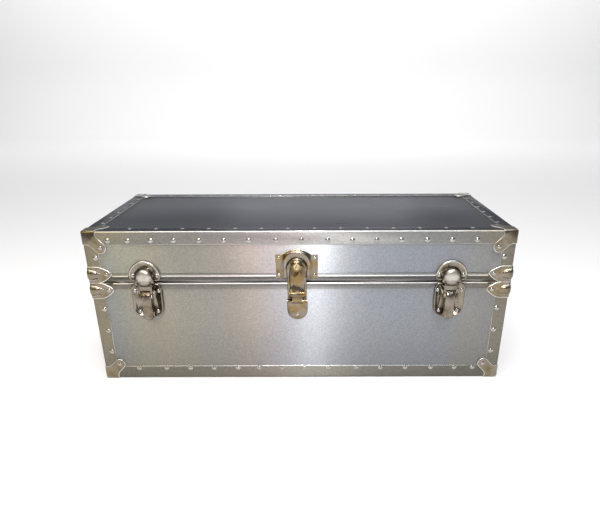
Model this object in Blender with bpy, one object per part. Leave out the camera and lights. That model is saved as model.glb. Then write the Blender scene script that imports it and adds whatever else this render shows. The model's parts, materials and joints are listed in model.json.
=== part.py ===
"""Metal-clad storage trunk with riveted edge bindings, two draw bolts and a hasp lock.

Metres, +Z up. The trunk stands on Z = 0 and its front faces -Y. The origin is on the floor
under the middle of the outer box, hardware included. Every layer of metal lies at an offset
from the plywood box, so sheet, bindings, caps and plates nest with one clearance.
"""
import math

import bmesh
import bpy
from mathutils import Matrix, Vector

# Outer size, over the corner caps
TRUNK_WIDTH = 0.787
TRUNK_DEPTH = 0.370
TRUNK_HEIGHT = 0.298
PARTING_HEIGHT = 0.200

# Stock thicknesses and the clearance between pieces that touch
CLEARANCE = 0.0003
PLYWOOD = 0.0095
SHEET = 0.0008
BINDING = 0.0010
PLATE = 0.0012

# Edge bindings
BINDING_LEG = 0.0245
FOLD_SEGMENTS = 3

# Closure rims: bead, flange and the tongue that stands inside the lid
BEAD_RADIUS = 0.0019
LID_BEAD_HEIGHT = 0.0125
LID_RIM_HEIGHT = 0.0175
CHEST_RIM_HEIGHT = 0.0125
TONGUE_HEIGHT = 0.0090
TONGUE_CLEARANCE = 0.0006
LIP_DEPTH = 0.0004
RIM_RELIEF_MARGIN = 0.0008

# Pressed corner caps
CAP_EDGE = 0.0255
CAP_STEP = 0.0090
CAP_LOBE_CENTRE = 0.0315
CAP_LOBE_RADIUS = 0.0100

# Leaf-shaped corner clamps
CLAMP_REACH = 0.0440
CLAMP_TALL = 0.0300
CLAMP_TIP_RISE = 0.0015
CLAMP_SHOULDER = 0.0170
CLAMP_TIP = 0.0050
CLAMP_RIDGE_REACH = 0.0225
CLAMP_RIDGE_RISE = 0.0022
CLAMP_RIDGE_TALL = 0.0205

# Draw bolts
DRAW_BOLT_INSET = 0.1090
DRAW_BOLT_SHIFT = -0.0040
KEEPER_WIDTH = 0.0590
KEEPER_BOTTOM = 0.0035
KEEPER_SPRING = 0.0090
KEEPER_CORNER = 0.0080
KEEPER_CROWN = 0.0016
KEEPER_FIELD = 0.0006
NOSE_WIDTH = 0.0100
NOSE_HEIGHT = 0.0030
NOSE_DEPTH = 0.0014
NOSE_RISE = 0.0170
NOSE_PLAY = 0.0007
BOLT_BASE_WIDTH = 0.0570
BOLT_BASE_HEIGHT = 0.0675
BOLT_BASE_SHOULDER = 0.0100
BOLT_BASE_FOOT = 0.0195
BOLT_BASE_RIM = 0.0030
BOLT_BASE_RIM_RISE = 0.0012
LEVER_PIVOT_DROP = 0.0165
LEVER_PIVOT_OUT = 0.0038
LINK_PIVOT_DROP = 0.0090
LINK_PIVOT_OUT = 0.0042
LEVER_LENGTH = 0.0545
LEVER_WIDTH = 0.0180
LEVER_TIP_WIDTH = 0.0204
LEVER_COVER = 0.0019
LEVER_TIP_DIP = 0.0014
LEVER_BARREL_RADIUS = 0.0026
LEVER_WALL = 0.0012
PIVOT_PIN_RADIUS = 0.0013
PIVOT_PLAY = 0.0003
EAR_RADIUS = 0.0035
EAR_THICKNESS = 0.0016
LINK_ARM_WIDTH = 0.0034
LINK_ARM_THICKNESS = 0.0020
LINK_EYE_RADIUS = 0.0029
SIDE_PLAY = 0.0005
CUP_WIDTH = 0.0365
CUP_HEIGHT = 0.0305
CUP_CORNER = 0.0030
CUP_DEPTH = 0.0075
CUP_WALL = 0.0012
NECK_LENGTH = 0.0125
NECK_LAP = 0.0050
NECK_CROWN = 0.0016

# Hasp lock
LOCK_OFFSET = -0.0060
LOCK_PLATE_WIDTH = 0.0775
LOCK_PLATE_TOP = 0.0530
LOCK_PLATE_BOTTOM = 0.0095
LOCK_ARCH_HALF = 0.0270
LOCK_ARCH_RISE = 0.0095
LOCK_CREST = 0.0036
LOCK_FIELD = 0.0026
PLUG_HEIGHT = 0.0325
PLUG_RADIUS = 0.0055
PLUG_PLAY = 0.0003
PLUG_PROUD = 0.0016
KEY_SLOT_WIDTH = 0.0016
KEY_SLOT_DEPTH = 0.0020
CAM_WIDTH = 0.0080
CAM_LENGTH = 0.0130
CAM_THICKNESS = 0.0012
TAIL_RADIUS = 0.0028
BOSS_RADIUS = 0.0092
BEZEL_RADIUS = 0.0105
BEZEL_PROUD = 0.0009
NOTCH_RADIUS = 0.0100
HASP_HEAD_RADIUS = 0.0190
HASP_HEAD_DROP = 0.0036
HASP_WIDTH = 0.0358
HASP_THICKNESS = 0.0036
HASP_RIB_HALF = 0.0050
HASP_RIB_RISE = 0.0024
HASP_AXIS_DROP = 0.0350
HASP_KNUCKLE_RADIUS = 0.0036
HASP_KNUCKLE_WIDTH = 0.0170
HASP_PIN_RADIUS = 0.0015
LOCK_BASE_WIDTH = 0.0386
LOCK_BASE_DROP = 0.0730
LOCK_BASE_THICKNESS = 0.0016
LOCK_BASE_CROWN = 0.0014

# Back hinges
HINGE_INSET = 0.1635
HINGE_WIDTH = 0.0500
HINGE_LEAF = 0.0340
HINGE_KNUCKLE_RADIUS = 0.0032
HINGE_PIN_RADIUS = 0.0015
HINGE_PIN_PLAY = 0.0003
HINGE_CENTRE_KNUCKLE = 0.0200

# Drop handles on the ends
HANDLE_PLATE_LENGTH = 0.1400
HANDLE_PLATE_HEIGHT = 0.0340
HANDLE_PLATE_THICKNESS = 0.0015
HANDLE_PIVOT_HEIGHT = 0.1330
HANDLE_PIVOT_OUT = 0.0075
HANDLE_SPAN = 0.1120
HANDLE_DROP = 0.0430
HANDLE_ROD_RADIUS = 0.0030
HANDLE_BEND = 0.0045
HANDLE_CORNER = 0.0080
HANDLE_GRIP_RADIUS = 0.0050
HANDLE_EAR_THICKNESS = 0.0030
HANDLE_EAR_RADIUS = 0.0060

# Offsets of each layer's outer face from the plywood box
SHEET_OUT = CLEARANCE + SHEET
BINDING_IN = SHEET_OUT + CLEARANCE
BINDING_OUT = BINDING_IN + BINDING
PLATE_IN = BINDING_OUT + CLEARANCE
PLATE_OUT = PLATE_IN + PLATE

# The plywood box that everything is laid on
PLY_HALF_X = TRUNK_WIDTH / 2 - PLATE_OUT
PLY_HALF_Y = TRUNK_DEPTH / 2 - PLATE_OUT
PLY_BOTTOM = PLATE_OUT
PLY_TOP = TRUNK_HEIGHT - PLATE_OUT
CHEST_PLY_TOP = PARTING_HEIGHT - BINDING - CLEARANCE
LID_RIM_BOTTOM = PARTING_HEIGHT + CLEARANCE
LID_PLY_BOTTOM = LID_RIM_BOTTOM + BINDING + CLEARANCE

# Pivots, as offsets out of the plywood face and heights
LEVER_AXIS_OUT = PLATE_OUT + LEVER_PIVOT_OUT
LEVER_AXIS_Z = PARTING_HEIGHT - LEVER_PIVOT_DROP
LINK_AXIS_OUT = LEVER_AXIS_OUT + LINK_PIVOT_OUT
LINK_AXIS_Z = LEVER_AXIS_Z - LINK_PIVOT_DROP
LOCK_FIELD_OUT = PLATE_OUT + LOCK_FIELD
HASP_BACK = LOCK_FIELD_OUT + CLEARANCE
HASP_FRONT = HASP_BACK + HASP_THICKNESS
HASP_AXIS_OUT = HASP_FRONT - HASP_KNUCKLE_RADIUS - CLEARANCE
HASP_AXIS_Z = PARTING_HEIGHT - HASP_AXIS_DROP
PLUG_Z = PARTING_HEIGHT + PLUG_HEIGHT
PLUG_FRONT = HASP_FRONT + PLUG_PROUD
BOLT_ACROSS = {"left": DRAW_BOLT_SHIFT - TRUNK_WIDTH / 2 + DRAW_BOLT_INSET,
               "right": DRAW_BOLT_SHIFT + TRUNK_WIDTH / 2 - DRAW_BOLT_INSET}
HINGE_ACROSS = {"left": HINGE_INSET - TRUNK_WIDTH / 2, "right": TRUNK_WIDTH / 2 - HINGE_INSET}
HINGE_AXIS_OUT = PLATE_IN + HINGE_KNUCKLE_RADIUS
HINGE_AXIS_Z = PARTING_HEIGHT + CLEARANCE / 2
HANDLE_PLATE_IN = SHEET_OUT + CLEARANCE
HANDLE_PLATE_OUT = HANDLE_PLATE_IN + HANDLE_PLATE_THICKNESS
HANDLE_AXIS_OUT = HANDLE_PLATE_OUT + HANDLE_PIVOT_OUT

CUP_BACK = PLATE_OUT + KEEPER_CROWN + CLEARANCE
CUP_FRONT = CUP_BACK + CUP_DEPTH

# The box is set back so that it is centred on the origin, hardware included
FRONT_REACH = max(PLUG_FRONT, CUP_FRONT, LINK_AXIS_OUT + LINK_EYE_RADIUS)
BACK_REACH = HINGE_AXIS_OUT + HINGE_KNUCKLE_RADIUS
BOX_Y = (FRONT_REACH - BACK_REACH) / 2
FRONT_Y = BOX_Y - PLY_HALF_Y
BACK_Y = BOX_Y + PLY_HALF_Y

ROUND_SIDES = 12
TINY = 1e-6


# Scene and materials

def clear_scene():
    for item in list(bpy.data.objects):
        bpy.data.objects.remove(item)


def material(name, colour, roughness, metallic):
    finish = bpy.data.materials.new(name)
    finish.use_nodes = True
    shader = finish.node_tree.nodes["Principled BSDF"]
    shader.inputs["Base Color"].default_value = (*colour, 1.0)
    shader.inputs["Roughness"].default_value = roughness
    shader.inputs["Metallic"].default_value = metallic
    finish.diffuse_color = (*colour, 1.0)
    return finish


def pivot(name, location):
    """An empty on a joint's axis, which carries the pieces that move about it."""
    axis = bpy.data.objects.new(name, None)
    axis.location = location
    axis.empty_display_size = 0.02
    bpy.context.scene.collection.objects.link(axis)
    bpy.context.view_layer.update()
    return axis


def add_object(name, shape, finish, carrier=None):
    """Make a named object of a bmesh in world coordinates, carried by a pivot if it moves."""
    mesh = bpy.data.meshes.new(name)
    shape.to_mesh(mesh)
    shape.free()
    mesh.materials.append(finish)
    mesh.shade_smooth()
    mesh.set_sharp_from_angle(angle=math.radians(35))
    piece = bpy.data.objects.new(name, mesh)
    bpy.context.scene.collection.objects.link(piece)
    if carrier:
        piece.parent = carrier
        piece.matrix_parent_inverse = carrier.matrix_world.inverted()
    return piece


# Flat outlines, in (across, up)

def arc(centre, radius, start, end, steps):
    """Points round a centre from one angle to another, in degrees."""
    points = []
    for step in range(steps + 1):
        angle = math.radians(start + (end - start) * step / steps)
        points.append((centre[0] + radius * math.cos(angle), centre[1] + radius * math.sin(angle)))
    return points


def fillet(corners, steps=3):
    """Round the corners of a closed outline. Each corner is (across, up, radius)."""
    points = []
    for index, (across, up, radius) in enumerate(corners):
        here = Vector((across, up))
        if radius <= 0:
            points.append(tuple(here))
            continue
        to_last = (Vector(corners[index - 1][:2]) - here).normalized()
        to_next = (Vector(corners[(index + 1) % len(corners)][:2]) - here).normalized()
        half = to_last.angle(to_next) / 2
        centre = here + (to_last + to_next).normalized() * radius / math.sin(half)
        first = here + to_last * radius / math.tan(half) - centre
        turn = first.angle_signed(here + to_next * radius / math.tan(half) - centre)
        for step in range(steps + 1):
            spoke = first @ Matrix.Rotation(turn * step / steps, 2)
            points.append(tuple(centre + spoke))
    return points


def plain(points):
    """Points of an outline that stay as they are when its corners are rounded."""
    return [(across, up, 0.0) for across, up in points]


def inset(points, distance):
    """Move a closed outline inwards by one distance, point for point."""
    area = sum(a[0] * b[1] - b[0] * a[1] for a, b in zip(points, points[1:] + points[:1]))
    side = 1 if area > 0 else -1
    moved = []
    for index, point in enumerate(points):
        here = Vector(point)
        before = (here - Vector(points[index - 1])).normalized()
        after = (Vector(points[(index + 1) % len(points)]) - here).normalized()
        normal = Vector((-before.y - after.y, before.x + after.x)) * side
        normal.normalize()
        spread = max(0.4, normal.dot(Vector((-before.y, before.x)) * side))
        moved.append(tuple(here + normal * distance / spread))
    return moved


# Solids

def closed(shape):
    bmesh.ops.remove_doubles(shape, verts=shape.verts, dist=TINY)
    bmesh.ops.recalc_face_normals(shape, faces=shape.faces)
    return shape


def block(low, high):
    """A box between two corners."""
    shape = bmesh.new()
    bmesh.ops.create_cube(shape, size=1.0)
    size = [b - a for a, b in zip(low, high)]
    middle = [(a + b) / 2 for a, b in zip(low, high)]
    bmesh.ops.scale(shape, vec=size, verts=shape.verts)
    bmesh.ops.translate(shape, vec=middle, verts=shape.verts)
    return shape


def rod(start, end, radius, sides=ROUND_SIDES):
    """A round bar between two points."""
    start = Vector(start)
    end = Vector(end)
    shape = bmesh.new()
    turn = (end - start).to_track_quat("Z", "Y").to_matrix().to_4x4()
    place = Matrix.Translation((start + end) / 2) @ turn
    bmesh.ops.create_cone(shape, cap_ends=True, segments=sides, radius1=radius, radius2=radius,
                          depth=(end - start).length, matrix=place)
    return shape


def stack(rows):
    """A solid on a wall: each row is (outline, offset out of the wall), back to front."""
    shape = bmesh.new()
    loops = []
    for outline, out in rows:
        loops.append([shape.verts.new((across, -out, up)) for across, up in outline])
    for lower, upper in zip(loops, loops[1:]):
        bridge(shape, lower, upper)
    shape.faces.new(loops[0])
    shape.faces.new(loops[-1])
    return closed(shape)


def bridge(shape, lower, upper, close=True):
    count = len(lower)
    for index in range(count if close else count - 1):
        after = (index + 1) % count
        shape.faces.new((lower[index], lower[after], upper[after], upper[index]))


def profile_bar(outline, left, right):
    """Extrude an outline of (out, up) points along X."""
    shape = bmesh.new()
    ends = []
    for across in (left, right):
        ends.append([shape.verts.new((across, -out, up)) for out, up in outline])
    bridge(shape, *ends)
    for end in ends:
        shape.faces.new(end)
    return closed(shape)


def sweep(path, radii, sides=8):
    """A round bar of changing radius along a path in one plane across the wall."""
    shape = bmesh.new()
    loops = []
    for index, point in enumerate(path):
        before = Vector(path[max(index - 1, 0)])
        after = Vector(path[min(index + 1, len(path) - 1)])
        along = (after - before).normalized()
        side = along.cross(Vector((0, 1, 0)))
        loop = []
        for step in range(sides):
            angle = 2 * math.pi * (step + 0.5) / sides
            spoke = side * math.cos(angle) + Vector((0, 1, 0)) * math.sin(angle)
            loop.append(shape.verts.new(Vector(point) + spoke * radii[index]))
        loops.append(loop)
    for lower, upper in zip(loops, loops[1:]):
        bridge(shape, lower, upper)
    shape.faces.new(loops[0])
    shape.faces.new(loops[-1])
    bmesh.ops.triangulate(shape, faces=shape.faces)
    return closed(shape)


def evaluated(shape, add_modifier):
    """Run one modifier over a bmesh and return the result as a new bmesh."""
    mesh = bpy.data.meshes.new("work")
    shape.to_mesh(mesh)
    shape.free()
    holder = bpy.data.objects.new("work", mesh)
    bpy.context.scene.collection.objects.link(holder)
    add_modifier(holder)
    graph = bpy.context.evaluated_depsgraph_get()
    graph.update()
    result = bpy.data.meshes.new_from_object(holder.evaluated_get(graph))
    done = bmesh.new()
    done.from_mesh(result)
    bpy.data.objects.remove(holder)
    bpy.data.meshes.remove(result)
    bpy.data.meshes.remove(mesh)
    bmesh.ops.remove_doubles(done, verts=done.verts, dist=TINY / 10)
    return done


def boolean(shape, tool, operation):
    """Join a tool to a solid, or cut it away."""
    tool_mesh = bpy.data.meshes.new("tool")
    tool.to_mesh(tool_mesh)
    tool.free()
    cutter = bpy.data.objects.new("tool", tool_mesh)
    cutter.hide_render = True
    cutter.display_type = "WIRE"
    bpy.context.scene.collection.objects.link(cutter)

    def modifier(holder):
        step = holder.modifiers.new("boolean", "BOOLEAN")
        step.operation = operation
        step.solver = "EXACT"
        step.object = cutter

    done = evaluated(shape, modifier)
    bpy.data.objects.remove(cutter)
    bpy.data.meshes.remove(tool_mesh)
    return done


def joined(shape, *tools):
    for tool in tools:
        shape = boolean(shape, tool, "UNION")
    return shape


def cut(shape, *tools):
    for tool in tools:
        shape = boolean(shape, tool, "DIFFERENCE")
    return shape


def thicken(shape, thickness):
    """Give a surface a wall on its inner side, with its corners kept square."""

    def modifier(holder):
        step = holder.modifiers.new("wall", "SOLIDIFY")
        step.thickness = thickness
        step.offset = -1
        step.use_even_offset = True

    return evaluated(shape, modifier)


def outward(shape, inside):
    """Point the faces of an open surface away from a point."""
    bmesh.ops.recalc_face_normals(shape, faces=shape.faces)
    facing = sum(face.normal.dot(face.calc_center_median() - Vector(inside)) * face.calc_area()
                 for face in shape.faces)
    if facing < 0:
        bmesh.ops.reverse_faces(shape, faces=shape.faces)


def folded(polygons, radius, thickness, inside):
    """Sheet metal: flat panels joined along folds of an outer radius."""
    shape = bmesh.new()
    for polygon in polygons:
        shape.faces.new([shape.verts.new(point) for point in polygon])
    bmesh.ops.remove_doubles(shape, verts=shape.verts, dist=TINY)
    outward(shape, inside)
    folds = []
    for edge in shape.edges:
        if len(edge.link_faces) == 2 and edge.calc_face_angle() > 0.5:
            folds.append(edge)
    bmesh.ops.bevel(shape, geom=folds, offset=radius, offset_type="OFFSET", affect="EDGES",
                    segments=FOLD_SEGMENTS, profile=0.5, clamp_overlap=False)
    bmesh.ops.dissolve_limit(shape, angle_limit=0.001, verts=shape.verts, edges=shape.edges)
    return thicken(shape, thickness)


def placed(shape, place):
    shape.transform(place)
    return shape


# Where each wall is: outlines are drawn facing -Y, then turned to their wall

def wall_place(side, across=0.0):
    turns = {"front": 0, "right": 90, "back": 180, "left": -90}
    bases = {"front": (across, FRONT_Y, 0), "back": (across, BACK_Y, 0),
             "left": (-PLY_HALF_X, BOX_Y + across, 0), "right": (PLY_HALF_X, BOX_Y + across, 0)}
    turn = Matrix.Rotation(math.radians(turns[side]), 4, "Z")
    return Matrix.Translation(bases[side]) @ turn


def corner_place(side_x, side_y, height, side_z):
    """Move a shape drawn at a corner, with the box towards -X, -Y and -Z, to a trunk corner."""
    base = Matrix.Translation((side_x * PLY_HALF_X, BOX_Y + side_y * PLY_HALF_Y, height))
    flip = Matrix.Diagonal((side_x, side_y, side_z, 1))
    return base @ flip


def at_corner(shape, side_x, side_y, height, side_z):
    shape.transform(corner_place(side_x, side_y, height, side_z))
    if side_x * side_y * side_z < 0:
        bmesh.ops.reverse_faces(shape, faces=shape.faces)
    return shape


CORNERS = (("front_left", -1, -1), ("front_right", 1, -1), ("back_left", -1, 1), ("back_right", 1, 1))
SIDES = (("left", -1), ("right", 1))


# Box: plywood panels and the sheet metal over them

def add_panels(wood, lid_axis):
    x = PLY_HALF_X
    y = PLY_HALF_Y
    boards = (("chest", PLY_BOTTOM, CHEST_PLY_TOP, None), ("lid", LID_PLY_BOTTOM, PLY_TOP, lid_axis))
    for part, low, high, carrier in boards:
        for side, sign in (("front", -1), ("back", 1)):
            ends = sorted((BOX_Y + sign * y, BOX_Y + sign * (y - PLYWOOD)))
            board = block((-x, ends[0], low), (x, ends[1], high))
            add_object(f"{part}_{side}_panel", board, wood, carrier)
        inner_y = y - PLYWOOD - CLEARANCE
        for side, sign in SIDES:
            ends = sorted((sign * x, sign * (x - PLYWOOD)))
            board = block((ends[0], BOX_Y - inner_y, low), (ends[1], BOX_Y + inner_y, high))
            add_object(f"{part}_{side}_panel", board, wood, carrier)
        inner_x = x - PLYWOOD - CLEARANCE
        flat = (low, low + PLYWOOD) if part == "chest" else (high - PLYWOOD, high)
        board = block((-inner_x, BOX_Y - inner_y, flat[0]), (inner_x, BOX_Y + inner_y, flat[1]))
        name = "chest_bottom_panel" if part == "chest" else "lid_top_panel"
        add_object(name, board, wood, carrier)


def box_faces(levels_x, levels_y, levels_z, keep):
    """Flat cells on the outside of a box, cut at the given levels; keep says which stay."""
    sides = []
    for axis in range(3):
        for end in (0, -1):
            sides.append((axis, end))
    levels = (levels_x, levels_y, levels_z)
    cells = []
    for axis, end in sides:
        first, second = [other for other in range(3) if other != axis]
        for i in range(len(levels[first]) - 1):
            for j in range(len(levels[second]) - 1):
                if not keep(axis, end, i, j):
                    continue
                cell = []
                for di, dj in ((0, 0), (1, 0), (1, 1), (0, 1)):
                    point = [0.0, 0.0, 0.0]
                    point[axis] = levels[axis][end]
                    point[first] = levels[first][i + di]
                    point[second] = levels[second][j + dj]
                    cell.append(tuple(point))
                cells.append(cell)
    return cells


def box_levels(out, leg=None):
    """X and Y levels of the box at one layer's offset, cut in from the corners by a leg."""
    x = PLY_HALF_X + out
    y = PLY_HALF_Y + out
    if leg is None:
        return (-x, x), (BOX_Y - y, BOX_Y + y)
    return (-x, leg - x, x - leg, x), (BOX_Y - y, BOX_Y - y + leg, BOX_Y + y - leg, BOX_Y + y)


def add_cover_sheets(finish, lid_axis):
    xs, ys = box_levels(SHEET_OUT)
    spans = (("chest_cover_sheet", PLY_BOTTOM - SHEET_OUT, CHEST_PLY_TOP, -1, None),
             ("lid_cover_sheet", LID_PLY_BOTTOM, PLY_TOP + SHEET_OUT, 0, lid_axis))
    for name, low, high, open_end, carrier in spans:
        faces = box_faces(xs, ys, (low, high), lambda axis, end, i, j: axis < 2 or end != open_end)
        shape = folded(faces, SHEET_OUT, SHEET, (0, BOX_Y, (low + high) / 2))
        add_object(name, shape, finish, carrier)


def add_bindings(finish, lid_axis):
    xs, ys = box_levels(BINDING_OUT, BINDING_LEG)
    top = PLY_TOP + BINDING_OUT
    lid_low = PARTING_HEIGHT + LID_RIM_HEIGHT + CLEARANCE
    levels = (lid_low, top - BINDING_LEG, top)

    def keep_lid(axis, end, i, j):
        if axis == 2:
            return end == -1 and (i, j) != (1, 1)
        return j == 1 or i != 1

    cage = folded(box_faces(xs, ys, levels, keep_lid), BINDING_OUT, BINDING, (0, BOX_Y, lid_low))
    add_object("lid_edge_binding", cage, finish, lid_axis)

    low = PLY_BOTTOM - BINDING_OUT
    tray = folded(box_faces(xs, ys, (low, low + BINDING_LEG),
                            lambda axis, end, i, j: axis < 2 or (end == 0 and (i, j) != (1, 1))),
                  BINDING_OUT, BINDING, (0, BOX_Y, low + BINDING_LEG))
    add_object("chest_bottom_binding", tray, finish)

    angle_low = low + BINDING_LEG + CLEARANCE
    angle_high = PARTING_HEIGHT - CHEST_RIM_HEIGHT - CLEARANCE
    for name, side_x, side_y in CORNERS:
        x = side_x * (PLY_HALF_X + BINDING_OUT)
        y = BOX_Y + side_y * (PLY_HALF_Y + BINDING_OUT)
        faces = []
        for foot in ((x - side_x * BINDING_LEG, y), (x, y - side_y * BINDING_LEG)):
            faces.append([(x, y, angle_low), (*foot, angle_low), (*foot, angle_high), (x, y, angle_high)])
        shape = folded(faces, BINDING_OUT, BINDING, (0, BOX_Y, angle_low))
        add_object(f"chest_corner_angle_{name}", shape, finish)


# Closure rims

def ring(profile):
    """Run a profile of (out, up) points round the box, with arcs outside its corners."""
    shape = bmesh.new()
    loops = []
    for out, up in profile:
        loop = []
        for side_x, side_y, start in ((1, 1, 0), (-1, 1, 90), (-1, -1, 180), (1, -1, 270)):
            corner = (side_x * PLY_HALF_X, BOX_Y + side_y * PLY_HALF_Y)
            if out > TINY:
                around = arc(corner, out, start, start + 90, FOLD_SEGMENTS)
                loop += [shape.verts.new((*point, up)) for point in around]
            else:
                point = (corner[0] + side_x * out, corner[1] + side_y * out, up)
                loop += [shape.verts.new(point)] * (FOLD_SEGMENTS + 1)
        loops.append(loop)
    for lower, upper in zip(loops, loops[1:] + loops[:1]):
        for index in range(len(lower)):
            after = (index + 1) % len(lower)
            around = []
            for vert in (lower[index], lower[after], upper[after], upper[index]):
                if vert not in around:
                    around.append(vert)
            if len(around) > 2:
                shape.faces.new(around)
    return closed(shape)


def half_bead(base, height, start, end):
    points = arc((base, height), BEAD_RADIUS, start, end, 6)
    return points


def reliefs(low, high, stations):
    """Blocks that flatten a rim under a plate. A station is (wall, across, half width)."""
    depth = 0.010
    face = BINDING_OUT + CLEARANCE / 6
    tools = []
    for wall, across, half in stations:
        tool = profile_bar([(face, low), (depth, low), (depth, high), (face, high)], -half, half)
        tools.append(placed(tool, wall_place(wall, across)))
    return tools


def corner_reliefs(low, high):
    reach = CLAMP_REACH - PLATE_OUT + RIM_RELIEF_MARGIN
    face = BINDING_OUT + CLEARANCE / 6
    depth = 0.010
    tools = []
    for _, side_x, side_y in CORNERS:
        outline = [(-reach, face), (-reach, depth), (depth, depth), (depth, -reach), (face, -reach)]
        outline += arc((0, 0), face, 0, 90, FOLD_SEGMENTS)
        shape = bmesh.new()
        ends = []
        for up in (low, high):
            ends.append([shape.verts.new((x, y, up)) for x, y in outline])
        bridge(shape, *ends)
        for end in ends:
            shape.faces.new(end)
        closed(shape)
        tools.append(at_corner(shape, side_x, side_y, 0, 1))
    return tools


def add_rims(finish, lid_axis):
    half_bolt = max(BOLT_BASE_WIDTH, KEEPER_WIDTH) / 2 + RIM_RELIEF_MARGIN
    half_lock = LOCK_PLATE_WIDTH / 2 + RIM_RELIEF_MARGIN
    half_hinge = HINGE_WIDTH / 2 + PLATE + RIM_RELIEF_MARGIN
    bolts = [("front", across, half_bolt) for across in BOLT_ACROSS.values()]
    hinges = [("back", across, half_hinge) for across in HINGE_ACROSS.values()]

    tongue_out = -PLYWOOD - TONGUE_CLEARANCE
    tongue_in = tongue_out - BINDING
    fold_low = PARTING_HEIGHT - BINDING
    flange_low = PARTING_HEIGHT - CHEST_RIM_HEIGHT
    profile = [(BINDING_IN, flange_low), (BINDING_OUT, flange_low)]
    profile += half_bead(BINDING_OUT, PARTING_HEIGHT - BEAD_RADIUS, -90, 90)
    profile += [(tongue_out, PARTING_HEIGHT), (tongue_out, PARTING_HEIGHT + TONGUE_HEIGHT),
                (tongue_in, PARTING_HEIGHT + TONGUE_HEIGHT), (tongue_in, fold_low), (BINDING_IN, fold_low)]
    rim = ring(profile)
    for tool in reliefs(flange_low - BINDING, PARTING_HEIGHT + BINDING, bolts + hinges):
        rim = cut(rim, tool)
    for tool in corner_reliefs(flange_low - BINDING, PARTING_HEIGHT + BINDING):
        rim = cut(rim, tool)
    add_object("chest_rim", rim, finish)

    low = LID_RIM_BOTTOM
    high = PARTING_HEIGHT + LID_RIM_HEIGHT
    bead = PARTING_HEIGHT + LID_BEAD_HEIGHT
    cove = (low + LIP_DEPTH * 2 + bead - BEAD_RADIUS) / 2
    profile = [(-PLYWOOD + CLEARANCE, low), (BINDING_OUT + LIP_DEPTH, low),
               (BINDING_OUT + LIP_DEPTH, low + LIP_DEPTH * 2), (BINDING_OUT, cove)]
    profile += half_bead(BINDING_OUT, bead, -90, 90)
    profile += [(BINDING_OUT, high), (BINDING_IN, high), (BINDING_IN, low + BINDING),
                (-PLYWOOD + CLEARANCE, low + BINDING)]
    rim = ring(profile)
    stations = bolts + hinges + [("front", LOCK_OFFSET, half_lock)]
    for tool in reliefs(low - BINDING, high + BINDING, stations):
        rim = cut(rim, tool)
    for tool in corner_reliefs(low - BINDING, high + BINDING):
        rim = cut(rim, tool)
    add_object("lid_rim", rim, finish, lid_axis)


# Corner hardware

def cap_outline():
    """One leg of a cap, from its end on one fold to its end on the other, by way of the lobe."""
    centre = (CAP_LOBE_CENTRE, CAP_LOBE_CENTRE)
    start = CAP_LOBE_CENTRE - CAP_LOBE_RADIUS * math.sqrt(0.5)
    shoulder = (CAP_EDGE + (start - CAP_STEP) * 0.15, CAP_STEP + (start - CAP_STEP) * 0.3)
    neck = (CAP_EDGE + (start - CAP_STEP) * 0.45, CAP_STEP + (start - CAP_STEP) * 0.62)
    half = [(CAP_EDGE, 0.0), (CAP_EDGE, CAP_STEP), shoulder, neck]
    lobe = arc(centre, CAP_LOBE_RADIUS, -45, 135, 8)
    return half + lobe + [(b, a) for a, b in reversed(half)]


def add_corner_caps(finish, lid_axis):
    leg = cap_outline()
    faces = []
    for axis in range(3):
        first, second = [other for other in range(3) if other != axis]
        face = []
        for a, b in leg + [(0.0, 0.0)]:
            point = [PLATE_OUT, PLATE_OUT, PLATE_OUT]
            point[first] -= a
            point[second] -= b
            face.append(tuple(point))
        faces.append(face)
    shape = folded(faces, PLATE_OUT, PLATE, (-CAP_EDGE, -CAP_EDGE, -CAP_EDGE))
    levels = (("lid", PLY_TOP, 1, lid_axis), ("chest", PLY_BOTTOM, -1, None))
    for part, height, side_z, carrier in levels:
        for name, side_x, side_y in CORNERS:
            cap = at_corner(shape.copy(), side_x, side_y, height, side_z)
            add_object(f"{part}_corner_cap_{name}", cap, finish, carrier)
    shape.free()


def clamp_outline():
    """One leaf of a clamp, in (away from the corner, up from its lower edge)."""
    middle = CLAMP_TALL / 2 + CLAMP_TIP_RISE
    low = (CLAMP_REACH - CLAMP_TIP * 0.3, middle - CLAMP_TIP / 2)
    high = (CLAMP_REACH - CLAMP_TIP * 0.3, middle + CLAMP_TIP / 2)
    below = [leaf_point(0.0, low, step) for step in (0.0, 0.3, 0.55, 0.8, 1.0)]
    above = [leaf_point(CLAMP_TALL, high, step) for step in (1.0, 0.8, 0.55, 0.3, 0.0)]
    return below + [(CLAMP_REACH, middle)] + above


def leaf_point(edge, tip, step):
    """A point on the leaf's side, which leaves the shoulder flat and bends to the tip."""
    across = CLAMP_SHOULDER + (tip[0] - CLAMP_SHOULDER) * step
    up = edge + (tip[1] - edge) * step ** 1.8
    return across, up


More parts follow.
